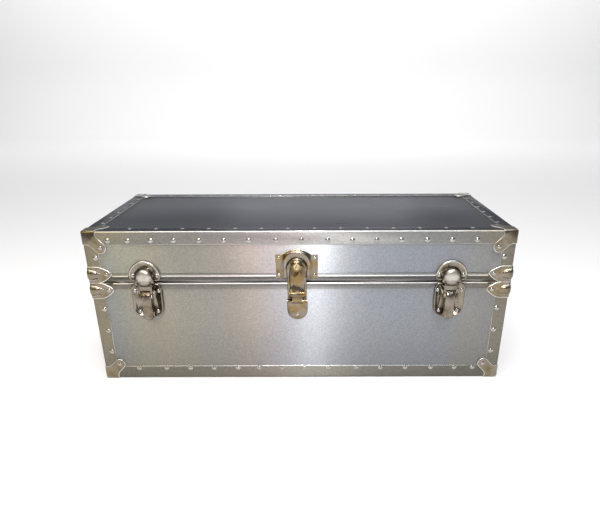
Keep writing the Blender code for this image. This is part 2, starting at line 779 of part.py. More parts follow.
def clamp_ridge():
    """The embossed ridge that runs round the fold and tapers to a point on each leaf."""
    inner = (PLATE_IN + PLATE_OUT) / 2
    radius = CLAMP_RIDGE_RISE + PLATE / 2
    path = []
    shares = []
    for step, share in ((1.0, 0.15), (0.75, 0.68), (0.4, 0.95)):
        path.append((inner, PLATE_OUT - CLAMP_RIDGE_REACH * step))
        shares.append(share)
    for point in arc((0.0, 0.0), inner, 0, 90, FOLD_SEGMENTS):
        path.append(point)
        shares.append(1.0)
    path += [(b, a) for a, b in reversed(path[:3])]
    shares += shares[2::-1]
    ridge = sweep([(a, 0.0, b) for a, b in path], [radius * share for share in shares])
    ridge.transform(Matrix.Rotation(math.radians(90), 4, "X") @ Matrix.Diagonal((1, 1, -1, 1)))
    bmesh.ops.recalc_face_normals(ridge, faces=ridge.faces)
    bmesh.ops.scale(ridge, vec=(1, 1, CLAMP_RIDGE_TALL / radius / 2), verts=ridge.verts)
    bmesh.ops.translate(ridge, vec=(0, 0, CLAMP_TALL / 2), verts=ridge.verts)
    far = -2 * CLAMP_REACH
    tools = [block((far, far, -CLAMP_TALL), (0.0, inner, CLAMP_TALL * 2)),
             block((far, far, -CLAMP_TALL), (inner, 0.0, CLAMP_TALL * 2)),
             rod((0, 0, -CLAMP_TALL), (0, 0, CLAMP_TALL * 2), inner)]
    return cut(ridge, *tools)


def add_corner_clamps(finish, lid_axis):
    leaf = clamp_outline()
    faces = []
    for axis in (0, 1):
        other = 1 - axis
        face = [(PLATE_OUT, PLATE_OUT, 0.0)]
        for a, up in leaf:
            point = [PLATE_OUT, PLATE_OUT, up]
            point[other] -= a
            face.append(tuple(point))
        face.append((PLATE_OUT, PLATE_OUT, CLAMP_TALL))
        faces.append(face)
    shape = folded(faces, PLATE_OUT, PLATE, (-CLAMP_REACH, -CLAMP_REACH, 0))
    shape = joined(shape, clamp_ridge())
    levels = (("lid", PARTING_HEIGHT + CLEARANCE, 1, lid_axis), ("chest", PARTING_HEIGHT - CLEARANCE, -1, None))
    for part, height, side_z, carrier in levels:
        for name, side_x, side_y in CORNERS:
            clamp = shape.copy()
            if side_z < 0:
                lift = CLAMP_TALL
                bmesh.ops.translate(clamp, vec=(0, 0, -lift), verts=clamp.verts)
            clamp = at_corner(clamp, side_x, side_y, height, 1)
            add_object(f"{part}_corner_clamp_{name}", clamp, finish, carrier)
    shape.free()


# Draw bolts

def keeper(across):
    half = KEEPER_WIDTH / 2
    low = PARTING_HEIGHT + KEEPER_BOTTOM
    spring = PARTING_HEIGHT + KEEPER_BOTTOM + KEEPER_SPRING
    top = arc((0, spring), half, 0, 180, 14)
    outline = fillet([(-half, low, KEEPER_CORNER), (half, low, KEEPER_CORNER)] + plain(top))
    shape = stack([(outline, PLATE_IN), (outline, PLATE_OUT), (inset(outline, 0.0010), PLATE_OUT + 0.0012),
                   (inset(outline, 0.0022), PLATE_OUT + KEEPER_CROWN),
                   (inset(outline, 0.0036), PLATE_OUT + 0.0012), (inset(outline, 0.0050), PLATE_OUT + KEEPER_FIELD)])
    nose_low = PARTING_HEIGHT + NOSE_RISE
    crest = PLATE_OUT + KEEPER_CROWN
    nose = profile_bar([(PLATE_OUT, nose_low), (crest + NOSE_DEPTH, nose_low + NOSE_HEIGHT / 2),
                        (crest + NOSE_DEPTH, nose_low + NOSE_HEIGHT), (PLATE_OUT, nose_low + NOSE_HEIGHT)],
                       -NOSE_WIDTH / 2, NOSE_WIDTH / 2)
    return placed(joined(shape, nose), wall_place("front", across))


def bolt_base(across):
    half = BOLT_BASE_WIDTH / 2
    top = PARTING_HEIGHT - CLEARANCE
    low = top - BOLT_BASE_HEIGHT
    foot = BOLT_BASE_FOOT
    outline = fillet([(-half, low, foot), (half, low, foot), (half, top, BOLT_BASE_SHOULDER),
                      (-half, top, BOLT_BASE_SHOULDER)], 4)
    rim = PLATE_OUT + BOLT_BASE_RIM_RISE
    shape = stack([(outline, PLATE_IN), (outline, PLATE_OUT), (inset(outline, 0.0010), rim),
                   (inset(outline, BOLT_BASE_RIM - 0.0008), rim), (inset(outline, BOLT_BASE_RIM), PLATE_OUT)])
    ear_in = LEVER_WIDTH / 2 + LINK_ARM_WIDTH + 2 * SIDE_PLAY
    root = PLATE_OUT - PLATE / 2
    for sign in (-1, 1):
        edges = sorted((sign * ear_in, sign * (ear_in + EAR_THICKNESS)))
        profile = [(root, LEVER_AXIS_Z - EAR_RADIUS - 0.002)]
        profile += arc((LEVER_AXIS_OUT, LEVER_AXIS_Z), EAR_RADIUS, -90, 90, 6)
        profile.append((root, LEVER_AXIS_Z + EAR_RADIUS))
        shape = joined(shape, profile_bar(profile, *edges))
    reach = ear_in + 2 * EAR_THICKNESS
    bore = rod((-reach, -LEVER_AXIS_OUT, LEVER_AXIS_Z), (reach, -LEVER_AXIS_OUT, LEVER_AXIS_Z),
               PIVOT_PIN_RADIUS + PIVOT_PLAY)
    return placed(cut(shape, bore), wall_place("front", across))


def lever_section(half, back, front):
    """The lever's channel across: two cheeks and a crowned face between rounded shoulders."""
    side = [(half, back), (half, front - 0.0026), (half - 0.0008, front - 0.0009), (half - 0.0027, front)]
    return [(-a, b) for a, b in side] + [(0.0, front + 0.0004)] + side[::-1]


def lever_loft(stations):
    shape = bmesh.new()
    loops = []
    for drop, width, low, high in stations:
        section = lever_section(width, low, high)
        loops.append([shape.verts.new((across, -out, LEVER_AXIS_Z - drop)) for across, out in section])
    for upper, lower in zip(loops, loops[1:]):
        bridge(shape, upper, lower)
    shape.faces.new(loops[0])
    shape.faces.new(loops[-1])
    return closed(shape)


def bolt_lever(across):
    """A pressed channel with a barrel at its pivot and pins for the ears and the link."""
    half = LEVER_WIDTH / 2
    tip_half = LEVER_TIP_WIDTH / 2
    back = PLATE_OUT + BOLT_BASE_RIM_RISE + CLEARANCE
    face = LINK_AXIS_OUT + LEVER_COVER
    tip_face = face - LEVER_TIP_DIP
    barrel = LEVER_BARREL_RADIUS
    stations = [(0.0, half, LEVER_AXIS_OUT - barrel, LEVER_AXIS_OUT + barrel),
                (LINK_PIVOT_DROP * 0.45, half, back, LINK_AXIS_OUT + LEVER_COVER * 0.4),
                (LINK_PIVOT_DROP * 0.8, half, back, face),
                (LEVER_LENGTH * 0.5, half + 0.0002, back, face),
                (LEVER_LENGTH * 0.78, tip_half, back, face - 0.0004),
                (LEVER_LENGTH * 0.9, tip_half * 0.94, back, tip_face),
                (LEVER_LENGTH * 0.97, tip_half * 0.72, back, tip_face - 0.0006),
                (LEVER_LENGTH, tip_half * 0.4, back, tip_face - 0.0012)]
    pocket = []
    for drop, width, low, high in stations:
        drop = min(max(drop, barrel), LEVER_LENGTH - LEVER_WALL)
        if not pocket or drop > pocket[-1][0]:
            pocket.append((drop, width - LEVER_WALL, low - LEVER_WALL, high - LEVER_WALL))
    shape = cut(lever_loft(stations), lever_loft(pocket))
    ear_out = LEVER_WIDTH / 2 + LINK_ARM_WIDTH + 2 * SIDE_PLAY + EAR_THICKNESS
    link_out = LEVER_WIDTH / 2 + SIDE_PLAY + LINK_ARM_WIDTH
    bars = ((half - 0.0001, LEVER_AXIS_OUT, LEVER_AXIS_Z, barrel),
            (ear_out + CLEARANCE, LEVER_AXIS_OUT, LEVER_AXIS_Z, PIVOT_PIN_RADIUS),
            (link_out + CLEARANCE, LINK_AXIS_OUT, LINK_AXIS_Z, PIVOT_PIN_RADIUS))
    for reach, out, height, radius in bars:
        shape = joined(shape, rod((-reach, -out, height), (reach, -out, height), radius))
    return placed(shape, wall_place("front", across))


def cup(rows):
    """A dome on the cup's outline, from rows of (inset, offset out of the wall)."""
    sections = []
    for margin, out in rows:
        half = CUP_WIDTH / 2 - margin
        low = PARTING_HEIGHT + margin
        corner = max(CUP_CORNER - margin, CUP_CORNER / 4)
        top = arc((0, PARTING_HEIGHT + CUP_HEIGHT - CUP_WIDTH / 2), half, 0, 180, 12)
        sections.append((fillet([(-half, low, corner), (half, low, corner)] + plain(top)), out))
    return stack(sections)


def bolt_link(across):
    """The cup that lies over the keeper, its neck, and two arms with eyes on the lever's pin."""
    half = CUP_WIDTH / 2
    low = PARTING_HEIGHT
    rows = ((0.0, CUP_BACK), (0.0004, CUP_BACK + CUP_DEPTH * 0.45), (0.0016, CUP_BACK + CUP_DEPTH * 0.75),
            (0.0042, CUP_BACK + CUP_DEPTH * 0.93), (0.0090, CUP_FRONT))
    hollow = [(CUP_WALL, CUP_BACK - CUP_WALL)]
    hollow += [(margin + CUP_WALL, out - CUP_WALL) for margin, out in rows[1:]]
    shape = cut(cup(rows), cup(hollow))
    back = LINK_AXIS_OUT - LINK_ARM_THICKNESS / 2
    front = LINK_AXIS_OUT + LINK_ARM_THICKNESS / 2
    neck_low = low - NECK_LENGTH
    arm_in = LEVER_WIDTH / 2 + SIDE_PLAY
    arm_out = arm_in + LINK_ARM_WIDTH
    crown = arc((0.0, 0.0), 1.0, -75, 75, 4)
    middle = low - NECK_LENGTH / 2
    profile = [(back, neck_low)]
    profile += [(front + NECK_CROWN * (a - crown[0][0]), middle + b * NECK_LENGTH / 2) for a, b in crown]
    profile += [(front, low + NECK_LAP), (back, low + NECK_LAP)]
    neck = profile_bar(profile, -arm_out, arm_out)
    shape = joined(shape, neck)
    for sign in (-1, 1):
        edges = sorted((sign * arm_in, sign * arm_out))
        arm = profile_bar([(back, LINK_AXIS_Z), (front, LINK_AXIS_Z), (front, neck_low + 0.001),
                           (back, neck_low + 0.001)], *edges)
        eye = rod((edges[0], -LINK_AXIS_OUT, LINK_AXIS_Z), (edges[1], -LINK_AXIS_OUT, LINK_AXIS_Z),
                  LINK_EYE_RADIUS)
        shape = joined(shape, arm, eye)
    bore = rod((-half, -LINK_AXIS_OUT, LINK_AXIS_Z), (half, -LINK_AXIS_OUT, LINK_AXIS_Z),
               PIVOT_PIN_RADIUS + PIVOT_PLAY)
    nose_half = NOSE_WIDTH / 2 + NOSE_PLAY
    nose_out = PLATE_OUT + KEEPER_CROWN + NOSE_DEPTH + NOSE_PLAY
    slot = profile_bar([(PLATE_OUT, low + CUP_HEIGHT * 0.7), (nose_out, low + CUP_HEIGHT * 0.7),
                        (nose_out, low + CUP_HEIGHT + CUP_WALL), (PLATE_OUT, low + CUP_HEIGHT + CUP_WALL)],
                       -nose_half, nose_half)
    return placed(cut(shape, bore, slot), wall_place("front", across))


def add_draw_bolts(nickel, lid_axis):
    for side, across in BOLT_ACROSS.items():
        lever_axis = pivot(f"draw_bolt_lever_axis_{side}", (across, FRONT_Y - LEVER_AXIS_OUT, LEVER_AXIS_Z))
        link_axis = pivot(f"draw_bolt_link_axis_{side}", (across, FRONT_Y - LINK_AXIS_OUT, LINK_AXIS_Z))
        add_object(f"draw_bolt_keeper_{side}", keeper(across), nickel, lid_axis)
        add_object(f"draw_bolt_base_{side}", bolt_base(across), nickel)
        add_object(f"draw_bolt_lever_{side}", bolt_lever(across), nickel, lever_axis)
        add_object(f"draw_bolt_link_{side}", bolt_link(across), nickel, link_axis)


# Hasp lock

def arch_row(half, top, power):
    """Half an arch, right side, from the plate's lower edge up to its crown."""
    points = [(half, PARTING_HEIGHT + LOCK_PLATE_BOTTOM)]
    for step in range(0, 6):
        angle = math.radians(90 * step / 6)
        across = half * math.cos(angle) ** power
        points.append((across, PLUG_Z + (top - PLUG_Z) * math.sin(angle) ** power))
    points.append((0.0, top))
    return [(-a, b) for a, b in points[:-1]] + [points[-1]] + points[-2::-1]


def lock_lid_plate():
    """A stamped plate: flat wings, an arched double ridge, and a raised field with an open notch."""
    low = PARTING_HEIGHT + LOCK_PLATE_BOTTOM
    top = PARTING_HEIGHT + LOCK_PLATE_TOP
    crown = top + LOCK_ARCH_RISE
    half = LOCK_PLATE_WIDTH / 2
    head = PLUG_Z - HASP_HEAD_DROP + HASP_HEAD_RADIUS
    field_half = HASP_HEAD_RADIUS + 0.0012
    ridge = LOCK_CREST
    rows = [(LOCK_ARCH_HALF - 0.0010, crown - 0.0018, 0.72, 0.0),
            (LOCK_ARCH_HALF - 0.0024, crown - 0.0034, 0.75, ridge * 0.75),
            (LOCK_ARCH_HALF - 0.0038, crown - 0.0056, 0.80, ridge),
            (LOCK_ARCH_HALF - 0.0050, crown - 0.0080, 0.86, ridge * 0.72),
            (field_half + 0.0010, head + 0.0048, 0.93, ridge * 0.9),
            (field_half, head + 0.0034, 1.0, LOCK_FIELD)]
    shape = bmesh.new()
    loops = []
    for width, height, power, rise in rows:
        arch = arch_row(width, height, power)
        loops.append([shape.verts.new((s, -PLATE_OUT - rise, up)) for s, up in arch])
    for outer, inner in zip(loops, loops[1:]):
        bridge(shape, outer, inner, close=False)
    chord = LOCK_ARCH_HALF
    sagitta = LOCK_ARCH_RISE
    radius = (chord ** 2 + sagitta ** 2) / (2 * sagitta)
    sweep_angle = math.degrees(math.asin(chord / radius))
    outline = [(-half, low), (-half, top)]
    outline += arc((0, crown - radius), radius, 90 + sweep_angle, 90 - sweep_angle, 8)
    outline += [(half, top), (half, low)]
    border = [shape.verts.new((s, -PLATE_OUT, up)) for s, up in outline]
    shape.faces.new(border + loops[0][::-1])
    notch = [(NOTCH_RADIUS, low)] + arc((0, PLUG_Z), NOTCH_RADIUS, 0, 180, 8) + [(-NOTCH_RADIUS, low)]
    slot = [shape.verts.new((s, -LOCK_FIELD_OUT, up)) for s, up in notch]
    shape.faces.new(loops[-1] + slot)
    outward(shape, (0, 0, PLUG_Z))
    return placed(thicken(shape, PLATE), wall_place("front", LOCK_OFFSET))


def lock_hasp():
    """The hasp: a crowned plate with a round head, a boss for the plug, a rib and a knuckle."""
    centre = PLUG_Z - HASP_HEAD_DROP
    side = HASP_WIDTH / 2
    low = HASP_AXIS_Z + HASP_KNUCKLE_RADIUS * 1.9
    start = -math.degrees(math.acos(side / HASP_HEAD_RADIUS))
    head = arc((0, centre), HASP_HEAD_RADIUS, start, 180 - start, 14)
    outline = fillet([(-side, low, 0.0045), (side, low, 0.0045)] + plain(head))
    shape = stack([(outline, HASP_BACK), (outline, HASP_BACK + HASP_THICKNESS * 0.55),
                   (inset(outline, 0.0010), HASP_BACK + HASP_THICKNESS * 0.85),
                   (inset(outline, 0.0030), HASP_FRONT)])
    knuckle_half = HASP_KNUCKLE_WIDTH / 2
    knuckle = rod((-knuckle_half, -HASP_AXIS_OUT, HASP_AXIS_Z), (knuckle_half, -HASP_AXIS_OUT, HASP_AXIS_Z),
                  HASP_KNUCKLE_RADIUS)
    tab = profile_bar([(HASP_BACK + 0.0004, HASP_AXIS_Z), (HASP_FRONT - 0.0006, HASP_AXIS_Z),
                       (HASP_FRONT - 0.0006, low + 0.002), (HASP_BACK + 0.0004, low + 0.002)],
                      -knuckle_half, knuckle_half)
    rib_z = low + HASP_RIB_HALF * 1.25
    bulge = arc((0.0, 0.0), 1.0, -90, 90, 6)
    profile = [(HASP_FRONT + HASP_RIB_RISE * a, rib_z + HASP_RIB_HALF * b) for a, b in bulge]
    profile += [(HASP_BACK + 0.001, rib_z + HASP_RIB_HALF), (HASP_BACK + 0.001, rib_z - HASP_RIB_HALF)]
    rib = profile_bar(profile, -side * 0.8, side * 0.8)
    boss_back = LOCK_FIELD_OUT - PLATE - CLEARANCE
    boss = rod((0, -boss_back, PLUG_Z), (0, -HASP_BACK - 0.001, PLUG_Z), BOSS_RADIUS, 16)
    bezel = rod((0, -HASP_BACK - 0.001, PLUG_Z), (0, -HASP_FRONT - BEZEL_PROUD, PLUG_Z), BEZEL_RADIUS, 20)
    bore = rod((0, 0, PLUG_Z), (0, -2 * PLUG_FRONT, PLUG_Z), PLUG_RADIUS + PLUG_PLAY, 16)
    pin = rod((-side, -HASP_AXIS_OUT, HASP_AXIS_Z), (side, -HASP_AXIS_OUT, HASP_AXIS_Z),
              HASP_PIN_RADIUS + PIVOT_PLAY)
    shape = cut(joined(shape, tab, knuckle, rib, boss, bezel), bore, pin)
    return placed(shape, wall_place("front", LOCK_OFFSET))


def lock_plug():
    """The key plug: a short barrel with a key slot and a tail for the cam."""
    boss_back = LOCK_FIELD_OUT - PLATE - CLEARANCE
    shape = rod((0, -boss_back, PLUG_Z), (0, -PLUG_FRONT, PLUG_Z), PLUG_RADIUS, 16)
    tail = rod((0, -boss_back + CAM_THICKNESS + 2 * CLEARANCE, PLUG_Z), (0, -PLUG_FRONT + 0.002, PLUG_Z),
               TAIL_RADIUS)
    slot = profile_bar([(PLUG_FRONT - KEY_SLOT_DEPTH, PLUG_Z - PLUG_RADIUS * 0.62),
                        (PLUG_FRONT + KEY_SLOT_DEPTH, PLUG_Z - PLUG_RADIUS * 0.62),
                        (PLUG_FRONT + KEY_SLOT_DEPTH, PLUG_Z + PLUG_RADIUS * 0.62),
                        (PLUG_FRONT - KEY_SLOT_DEPTH, PLUG_Z + PLUG_RADIUS * 0.62)],
                       -KEY_SLOT_WIDTH / 2, KEY_SLOT_WIDTH / 2)
    return placed(cut(joined(shape, tail), slot), wall_place("front", LOCK_OFFSET))


def lock_cam():
    """The cam that hangs behind the lid plate and turns under its raised field."""
    back = LOCK_FIELD_OUT - PLATE - 2 * CLEARANCE - CAM_THICKNESS
    half = CAM_WIDTH / 2
    foot = [(-half, PLUG_Z - CAM_LENGTH, 0.0015), (half, PLUG_Z - CAM_LENGTH, 0.0015)]
    outline = fillet(foot + plain(arc((0, PLUG_Z), half, 0, 180, 6)), 2)
    shape = stack([(outline, back), (outline, back + CAM_THICKNESS)])
    bore = rod((0, 0, PLUG_Z), (0, -PLUG_FRONT, PLUG_Z), TAIL_RADIUS + CLEARANCE)
    return placed(cut(shape, bore), wall_place("front", LOCK_OFFSET))


def lock_base():
    """The lower plate: a crowned shield with two knuckles and the hasp's fixed pin."""
    half = LOCK_BASE_WIDTH / 2
    low = PARTING_HEIGHT - LOCK_BASE_DROP
    gap = HASP_KNUCKLE_WIDTH / 2 + CLEARANCE * 2
    shoulder = HASP_AXIS_Z - HASP_KNUCKLE_RADIUS - 0.0008
    top = HASP_AXIS_Z + HASP_KNUCKLE_RADIUS * 0.6
    outline = [(half, top), (gap, top), (gap, shoulder), (-gap, shoulder), (-gap, top), (-half, top)]
    outline += arc((0, low + half), half, 180, 360, 12)
    back = SHEET_OUT + CLEARANCE
    front = back + LOCK_BASE_THICKNESS
    shape = stack([(outline, back), (outline, front), (inset(outline, 0.0012), front + LOCK_BASE_CROWN * 0.6),
                   (inset(outline, 0.0036), front + LOCK_BASE_CROWN)])
    web_in = back + LOCK_BASE_THICKNESS / 4
    web_out = HASP_AXIS_OUT + HASP_KNUCKLE_RADIUS / 2
    web_low = HASP_AXIS_Z - HASP_KNUCKLE_RADIUS * 0.55
    web_high = HASP_AXIS_Z + HASP_KNUCKLE_RADIUS * 0.5
    for sign in (-1, 1):
        edges = sorted((sign * gap, sign * half))
        knuckle = rod((edges[0], -HASP_AXIS_OUT, HASP_AXIS_Z), (edges[1], -HASP_AXIS_OUT, HASP_AXIS_Z),
                      HASP_KNUCKLE_RADIUS)
        web_ends = sorted((sign * (gap + CLEARANCE), sign * (half - CLEARANCE)))
        web = profile_bar([(web_in, web_low), (web_out, web_low), (web_out, web_high), (web_in, web_high)],
                          *web_ends)
        shape = joined(shape, web, knuckle)
    reach = (gap + half) / 2
    pin = rod((-reach, -HASP_AXIS_OUT, HASP_AXIS_Z), (reach, -HASP_AXIS_OUT, HASP_AXIS_Z), HASP_PIN_RADIUS)
    return placed(joined(shape, pin), wall_place("front", LOCK_OFFSET))


def add_lock(nickel, brass, steel, lid_axis):
    place = wall_place("front", LOCK_OFFSET)
    hasp_axis = pivot("hasp_axis", place @ Vector((0, -HASP_AXIS_OUT, HASP_AXIS_Z)))
    plug_axis = pivot("plug_axis", place @ Vector((0, -PLUG_FRONT, PLUG_Z)))
    add_object("lock_lid_plate", lock_lid_plate(), nickel, lid_axis)
    add_object("lock_base_plate", lock_base(), nickel)
    add_object("lock_hasp", lock_hasp(), nickel, hasp_axis)
    add_object("lock_plug", lock_plug(), brass, plug_axis)
    add_object("lock_cam", lock_cam(), steel, plug_axis)


# Back hinges

def hinge_leaf(across, lid):
    """A leaf with its knuckles: the lid's has the middle one, the chest's the outer two."""
    half = HINGE_WIDTH / 2
    middle = HINGE_CENTRE_KNUCKLE / 2
    radius = HINGE_KNUCKLE_RADIUS
    play = CLEARANCE / 2
    near = radius + CLEARANCE
    if lid:
        outline = fillet([(half, near, 0), (half, HINGE_LEAF, 0.005), (-half, HINGE_LEAF, 0.005),
                          (-half, near, 0), (-middle + play, near, 0), (-middle + play, 0, 0),
                          (middle - play, 0, 0), (middle - play, near, 0)])
        spans = [(-middle + play, middle - play)]
    else:
        outline = fillet([(middle + play, -near, 0), (middle + play, 0, 0), (half, 0, 0),
                          (half, -HINGE_LEAF, 0.005), (-half, -HINGE_LEAF, 0.005), (-half, 0, 0),
                          (-middle - play, 0, 0), (-middle - play, -near, 0)])
        spans = [(-half, -middle - play), (middle + play, half)]
    outline = [(s, HINGE_AXIS_Z + up) for s, up in outline]
    shape = stack([(outline, PLATE_IN), (outline, PLATE_OUT)])
    for left, right in spans:
        knuckle = rod((left, -HINGE_AXIS_OUT, HINGE_AXIS_Z), (right, -HINGE_AXIS_OUT, HINGE_AXIS_Z), radius)
        shape = joined(shape, knuckle)
    bore = rod((-half * 2, -HINGE_AXIS_OUT, HINGE_AXIS_Z), (half * 2, -HINGE_AXIS_OUT, HINGE_AXIS_Z),
               HINGE_PIN_RADIUS + HINGE_PIN_PLAY)
    return placed(cut(shape, bore), wall_place("back", across))


def hinge_pin(across):
    """The pin, with a head at each end that keeps it in the knuckles."""
    half = HINGE_WIDTH / 2 + CLEARANCE
    end = half + PLATE
    reach = half + PLATE / 2
    shape = rod((-reach, -HINGE_AXIS_OUT, HINGE_AXIS_Z), (reach, -HINGE_AXIS_OUT, HINGE_AXIS_Z),
                HINGE_PIN_RADIUS)
    for sign in (-1, 1):
        head = rod((sign * half, -HINGE_AXIS_OUT, HINGE_AXIS_Z), (sign * end, -HINGE_AXIS_OUT, HINGE_AXIS_Z),
                   HINGE_PIN_RADIUS * 1.6)
        shape = joined(shape, head)
    return placed(shape, wall_place("back", across))


def add_hinges(nickel, steel, lid_axis):
    for side, across in HINGE_ACROSS.items():
        add_object(f"hinge_chest_leaf_{side}", hinge_leaf(across, False), nickel)
        add_object(f"hinge_lid_leaf_{side}", hinge_leaf(across, True), nickel, lid_axis)
        add_object(f"hinge_pin_{side}", hinge_pin(across), steel)


# Drop handles

def handle_plate(side):
    half = HANDLE_PLATE_LENGTH / 2
    middle = HANDLE_PIVOT_HEIGHT
    tall = HANDLE_PLATE_HEIGHT / 2
    outline = fillet([(-half, middle - tall, 0.010), (half, middle - tall, 0.010),
                      (half, middle + tall, 0.010), (-half, middle + tall, 0.010)])
    shape = stack([(outline, HANDLE_PLATE_IN), (outline, HANDLE_PLATE_OUT - 0.0004),
                   (inset(outline, 0.0008), HANDLE_PLATE_OUT)])
    bore_radius = HANDLE_ROD_RADIUS * 0.75 + PIVOT_PLAY
    inner = HANDLE_SPAN / 2 - HANDLE_EAR_THICKNESS
    for sign in (-1, 1):
        edges = sorted((sign * inner, sign * HANDLE_SPAN / 2))
        profile = [(HANDLE_PLATE_IN + 0.0005, middle - HANDLE_EAR_RADIUS - 0.003)]
        profile += arc((HANDLE_AXIS_OUT, middle), HANDLE_EAR_RADIUS, -70, 90, 6)
        profile.append((HANDLE_PLATE_IN + 0.0005, middle + HANDLE_EAR_RADIUS + 0.002))
        shape = joined(shape, profile_bar(profile, *edges))
    bore = rod((-half, -HANDLE_AXIS_OUT, middle), (half, -HANDLE_AXIS_OUT, middle), bore_radius)
    return placed(cut(shape, bore), wall_place(side))


def handle_path():
    """The handle's centre line and radii: in from one ear, down, along the grip and back up."""
    middle = HANDLE_PIVOT_HEIGHT
    leg = HANDLE_SPAN / 2 - HANDLE_EAR_THICKNESS - SIDE_PLAY - HANDLE_BEND
    low = middle - HANDLE_DROP
    half = [(HANDLE_SPAN / 2, middle, 0.75)]
    bend = arc((leg + HANDLE_BEND, middle - HANDLE_BEND), HANDLE_BEND, 90, 180, 3)
    half += [(across, up, share) for (across, up), share in zip(bend, (0.75, 1, 1, 1))]
    corner = arc((leg - HANDLE_CORNER, low + HANDLE_CORNER), HANDLE_CORNER, 0, -90, 3)
    half += [(across, up, 1) for across, up in corner]
    swell = HANDLE_GRIP_RADIUS / HANDLE_ROD_RADIUS
    half += [(leg * 0.72, low, (1 + swell) / 2), (leg * 0.6, low, swell), (leg * 0.25, low, swell * 1.04)]
    whole = half + [(-across, up, share) for across, up, share in reversed(half)]
    path = [(across, -HANDLE_AXIS_OUT, up) for across, up, _ in whole]
    return path, [HANDLE_ROD_RADIUS * share for _, _, share in whole]


def add_handles(nickel):
    for side, _ in SIDES:
        place = wall_place(side)
        axis = pivot(f"side_handle_axis_{side}", place @ Vector((0, -HANDLE_AXIS_OUT, HANDLE_PIVOT_HEIGHT)))
        add_object(f"side_handle_plate_{side}", handle_plate(side), nickel)
        add_object(f"side_handle_{side}", placed(sweep(*handle_path()), place), nickel, axis)


def main():
    clear_scene()
    wood = material("plywood", (0.55, 0.41, 0.26), 0.75, 0.0)
    sheet = material("satin_sheet", (0.66, 0.66, 0.65), 0.34, 1.0)
    binding = material("bright_binding", (0.68, 0.67, 0.63), 0.27, 1.0)
    nickel = material("nickel_plate", (0.72, 0.68, 0.60), 0.16, 1.0)
    steel = material("pin_steel", (0.50, 0.50, 0.50), 0.35, 1.0)
    brass = material("plug_brass", (0.78, 0.66, 0.42), 0.25, 1.0)
    lid_axis = pivot("lid_axis", (0, BACK_Y + HINGE_AXIS_OUT, HINGE_AXIS_Z))
    add_panels(wood, lid_axis)
    add_cover_sheets(sheet, lid_axis)
    add_bindings(binding, lid_axis)
    add_rims(binding, lid_axis)
    add_corner_caps(nickel, lid_axis)
    add_corner_clamps(nickel, lid_axis)
    add_draw_bolts(nickel, lid_axis)
    add_lock(nickel, brass, steel, lid_axis)
    add_hinges(nickel, steel, lid_axis)
    add_handles(nickel)


main()
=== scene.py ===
"""Looks of a metal-clad storage trunk: finishes, rivets, rounded edges and a plain studio.

Metres, +Z up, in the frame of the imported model. The front faces -Y.
"""
import json
import math

import bmesh
import bpy
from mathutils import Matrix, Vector


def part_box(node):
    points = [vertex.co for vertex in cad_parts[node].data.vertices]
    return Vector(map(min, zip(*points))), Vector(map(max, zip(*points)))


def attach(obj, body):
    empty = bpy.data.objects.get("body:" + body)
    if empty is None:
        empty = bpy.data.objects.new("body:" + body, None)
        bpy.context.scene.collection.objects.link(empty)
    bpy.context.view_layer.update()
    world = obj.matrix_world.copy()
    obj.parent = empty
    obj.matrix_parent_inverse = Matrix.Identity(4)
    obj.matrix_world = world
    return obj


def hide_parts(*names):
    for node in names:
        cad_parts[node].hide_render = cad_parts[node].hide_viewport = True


bl_info = {
    "name": "Metal trunk looks",
    "version": (1, 0, 0),
    "blender": (4, 5, 0),
    "location": "View3D > Sidebar > Trunk",
    "description": "Finishes, rivets and studio for a metal-clad storage trunk",
    "category": "Object",
}

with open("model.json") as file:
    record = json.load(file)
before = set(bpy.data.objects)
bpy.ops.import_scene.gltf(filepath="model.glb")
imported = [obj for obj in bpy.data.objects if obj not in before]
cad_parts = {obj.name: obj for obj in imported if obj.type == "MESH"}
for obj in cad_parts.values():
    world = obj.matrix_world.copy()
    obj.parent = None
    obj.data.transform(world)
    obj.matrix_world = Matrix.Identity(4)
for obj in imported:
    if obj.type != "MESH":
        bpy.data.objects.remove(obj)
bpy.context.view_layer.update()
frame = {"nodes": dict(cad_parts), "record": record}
NODES = frame["nodes"]
SLOT_OF = {row["node"]: row["material_slot"] for row in frame["record"]["subparts"]}
BODY_OF = {node: body for body, group in frame["record"]["behaviour"]["bodies"].items() for node in group}

LEFT, RIGHT, FRONT, BACK = (-1, 0, 0), (1, 0, 0), (0, -1, 0), (0, 1, 0)
UP, DOWN = (0, 0, 1), (0, 0, -1)
SIDES = (("left", LEFT), ("right", RIGHT))
ENDS = (("front", FRONT), ("back", BACK))

# Where the finishes change, and where highlights and shade are painted, as on the CAD:
# heights are along Z, distances from the middle along X

# Painted highlight along the binding's fold
FOLD_HIGHLIGHT = (0.2940, 0.2952)
# Painted shade where the rims meet
SEAM_SHADE = ((0.2000, 0.2006), (0.2100, 0.2112))
# Painted highlights on the beads' crowns: their lower edges, how soft and how wide the bands are
BEAD_HIGHLIGHTS = (0.1984, 0.2128)
HIGHLIGHT_SOFT = 0.0003
HIGHLIGHT_WIDE = 0.0012
# Heights over which the sheet and the bindings turn darker toward the floor
SHEET_DARKER_LOW = (0.0, 0.15)
BINDING_DARKER_LOW = (0.0, 0.10)
# Distances from the middle over which the bindings turn yellower toward the ends
BINDING_ENDS = (0.2646, 0.3742)
NICKEL_CORNERS = (0.3300, 0.3450)
NICKEL_LOCK = (0.0500, 0.0600)
END_BOARDS = (0.3763, 0.3768)

# The draw bolts' cups and the arches of their keepers, lighter partly by wear, partly as a painted highlight

CUP_PLACES = (-0.2885, 0.2805)
CUP_HEIGHT = 0.2150
CUP_REACH = (0.0190, 0.0165)
CUP_DOME = 0.0046
ARCH_HEIGHT = 0.2125
ARCH_TOP = 0.2165
ARCH_REACH = 0.0295

# A quarter turn spreads the shine of rolled walls upright.
# The flat top gets darker copies of the walls' finishes, as painted shade.

WALL_GRAIN = 0.25
TOP_PAINTED_SHADE = {"satin_sheet": "top_sheet_painted_shade", "bright_binding": "top_binding_painted_shade"}
FLAT_NORMAL = 0.95


# Sizes and colours that a user would change

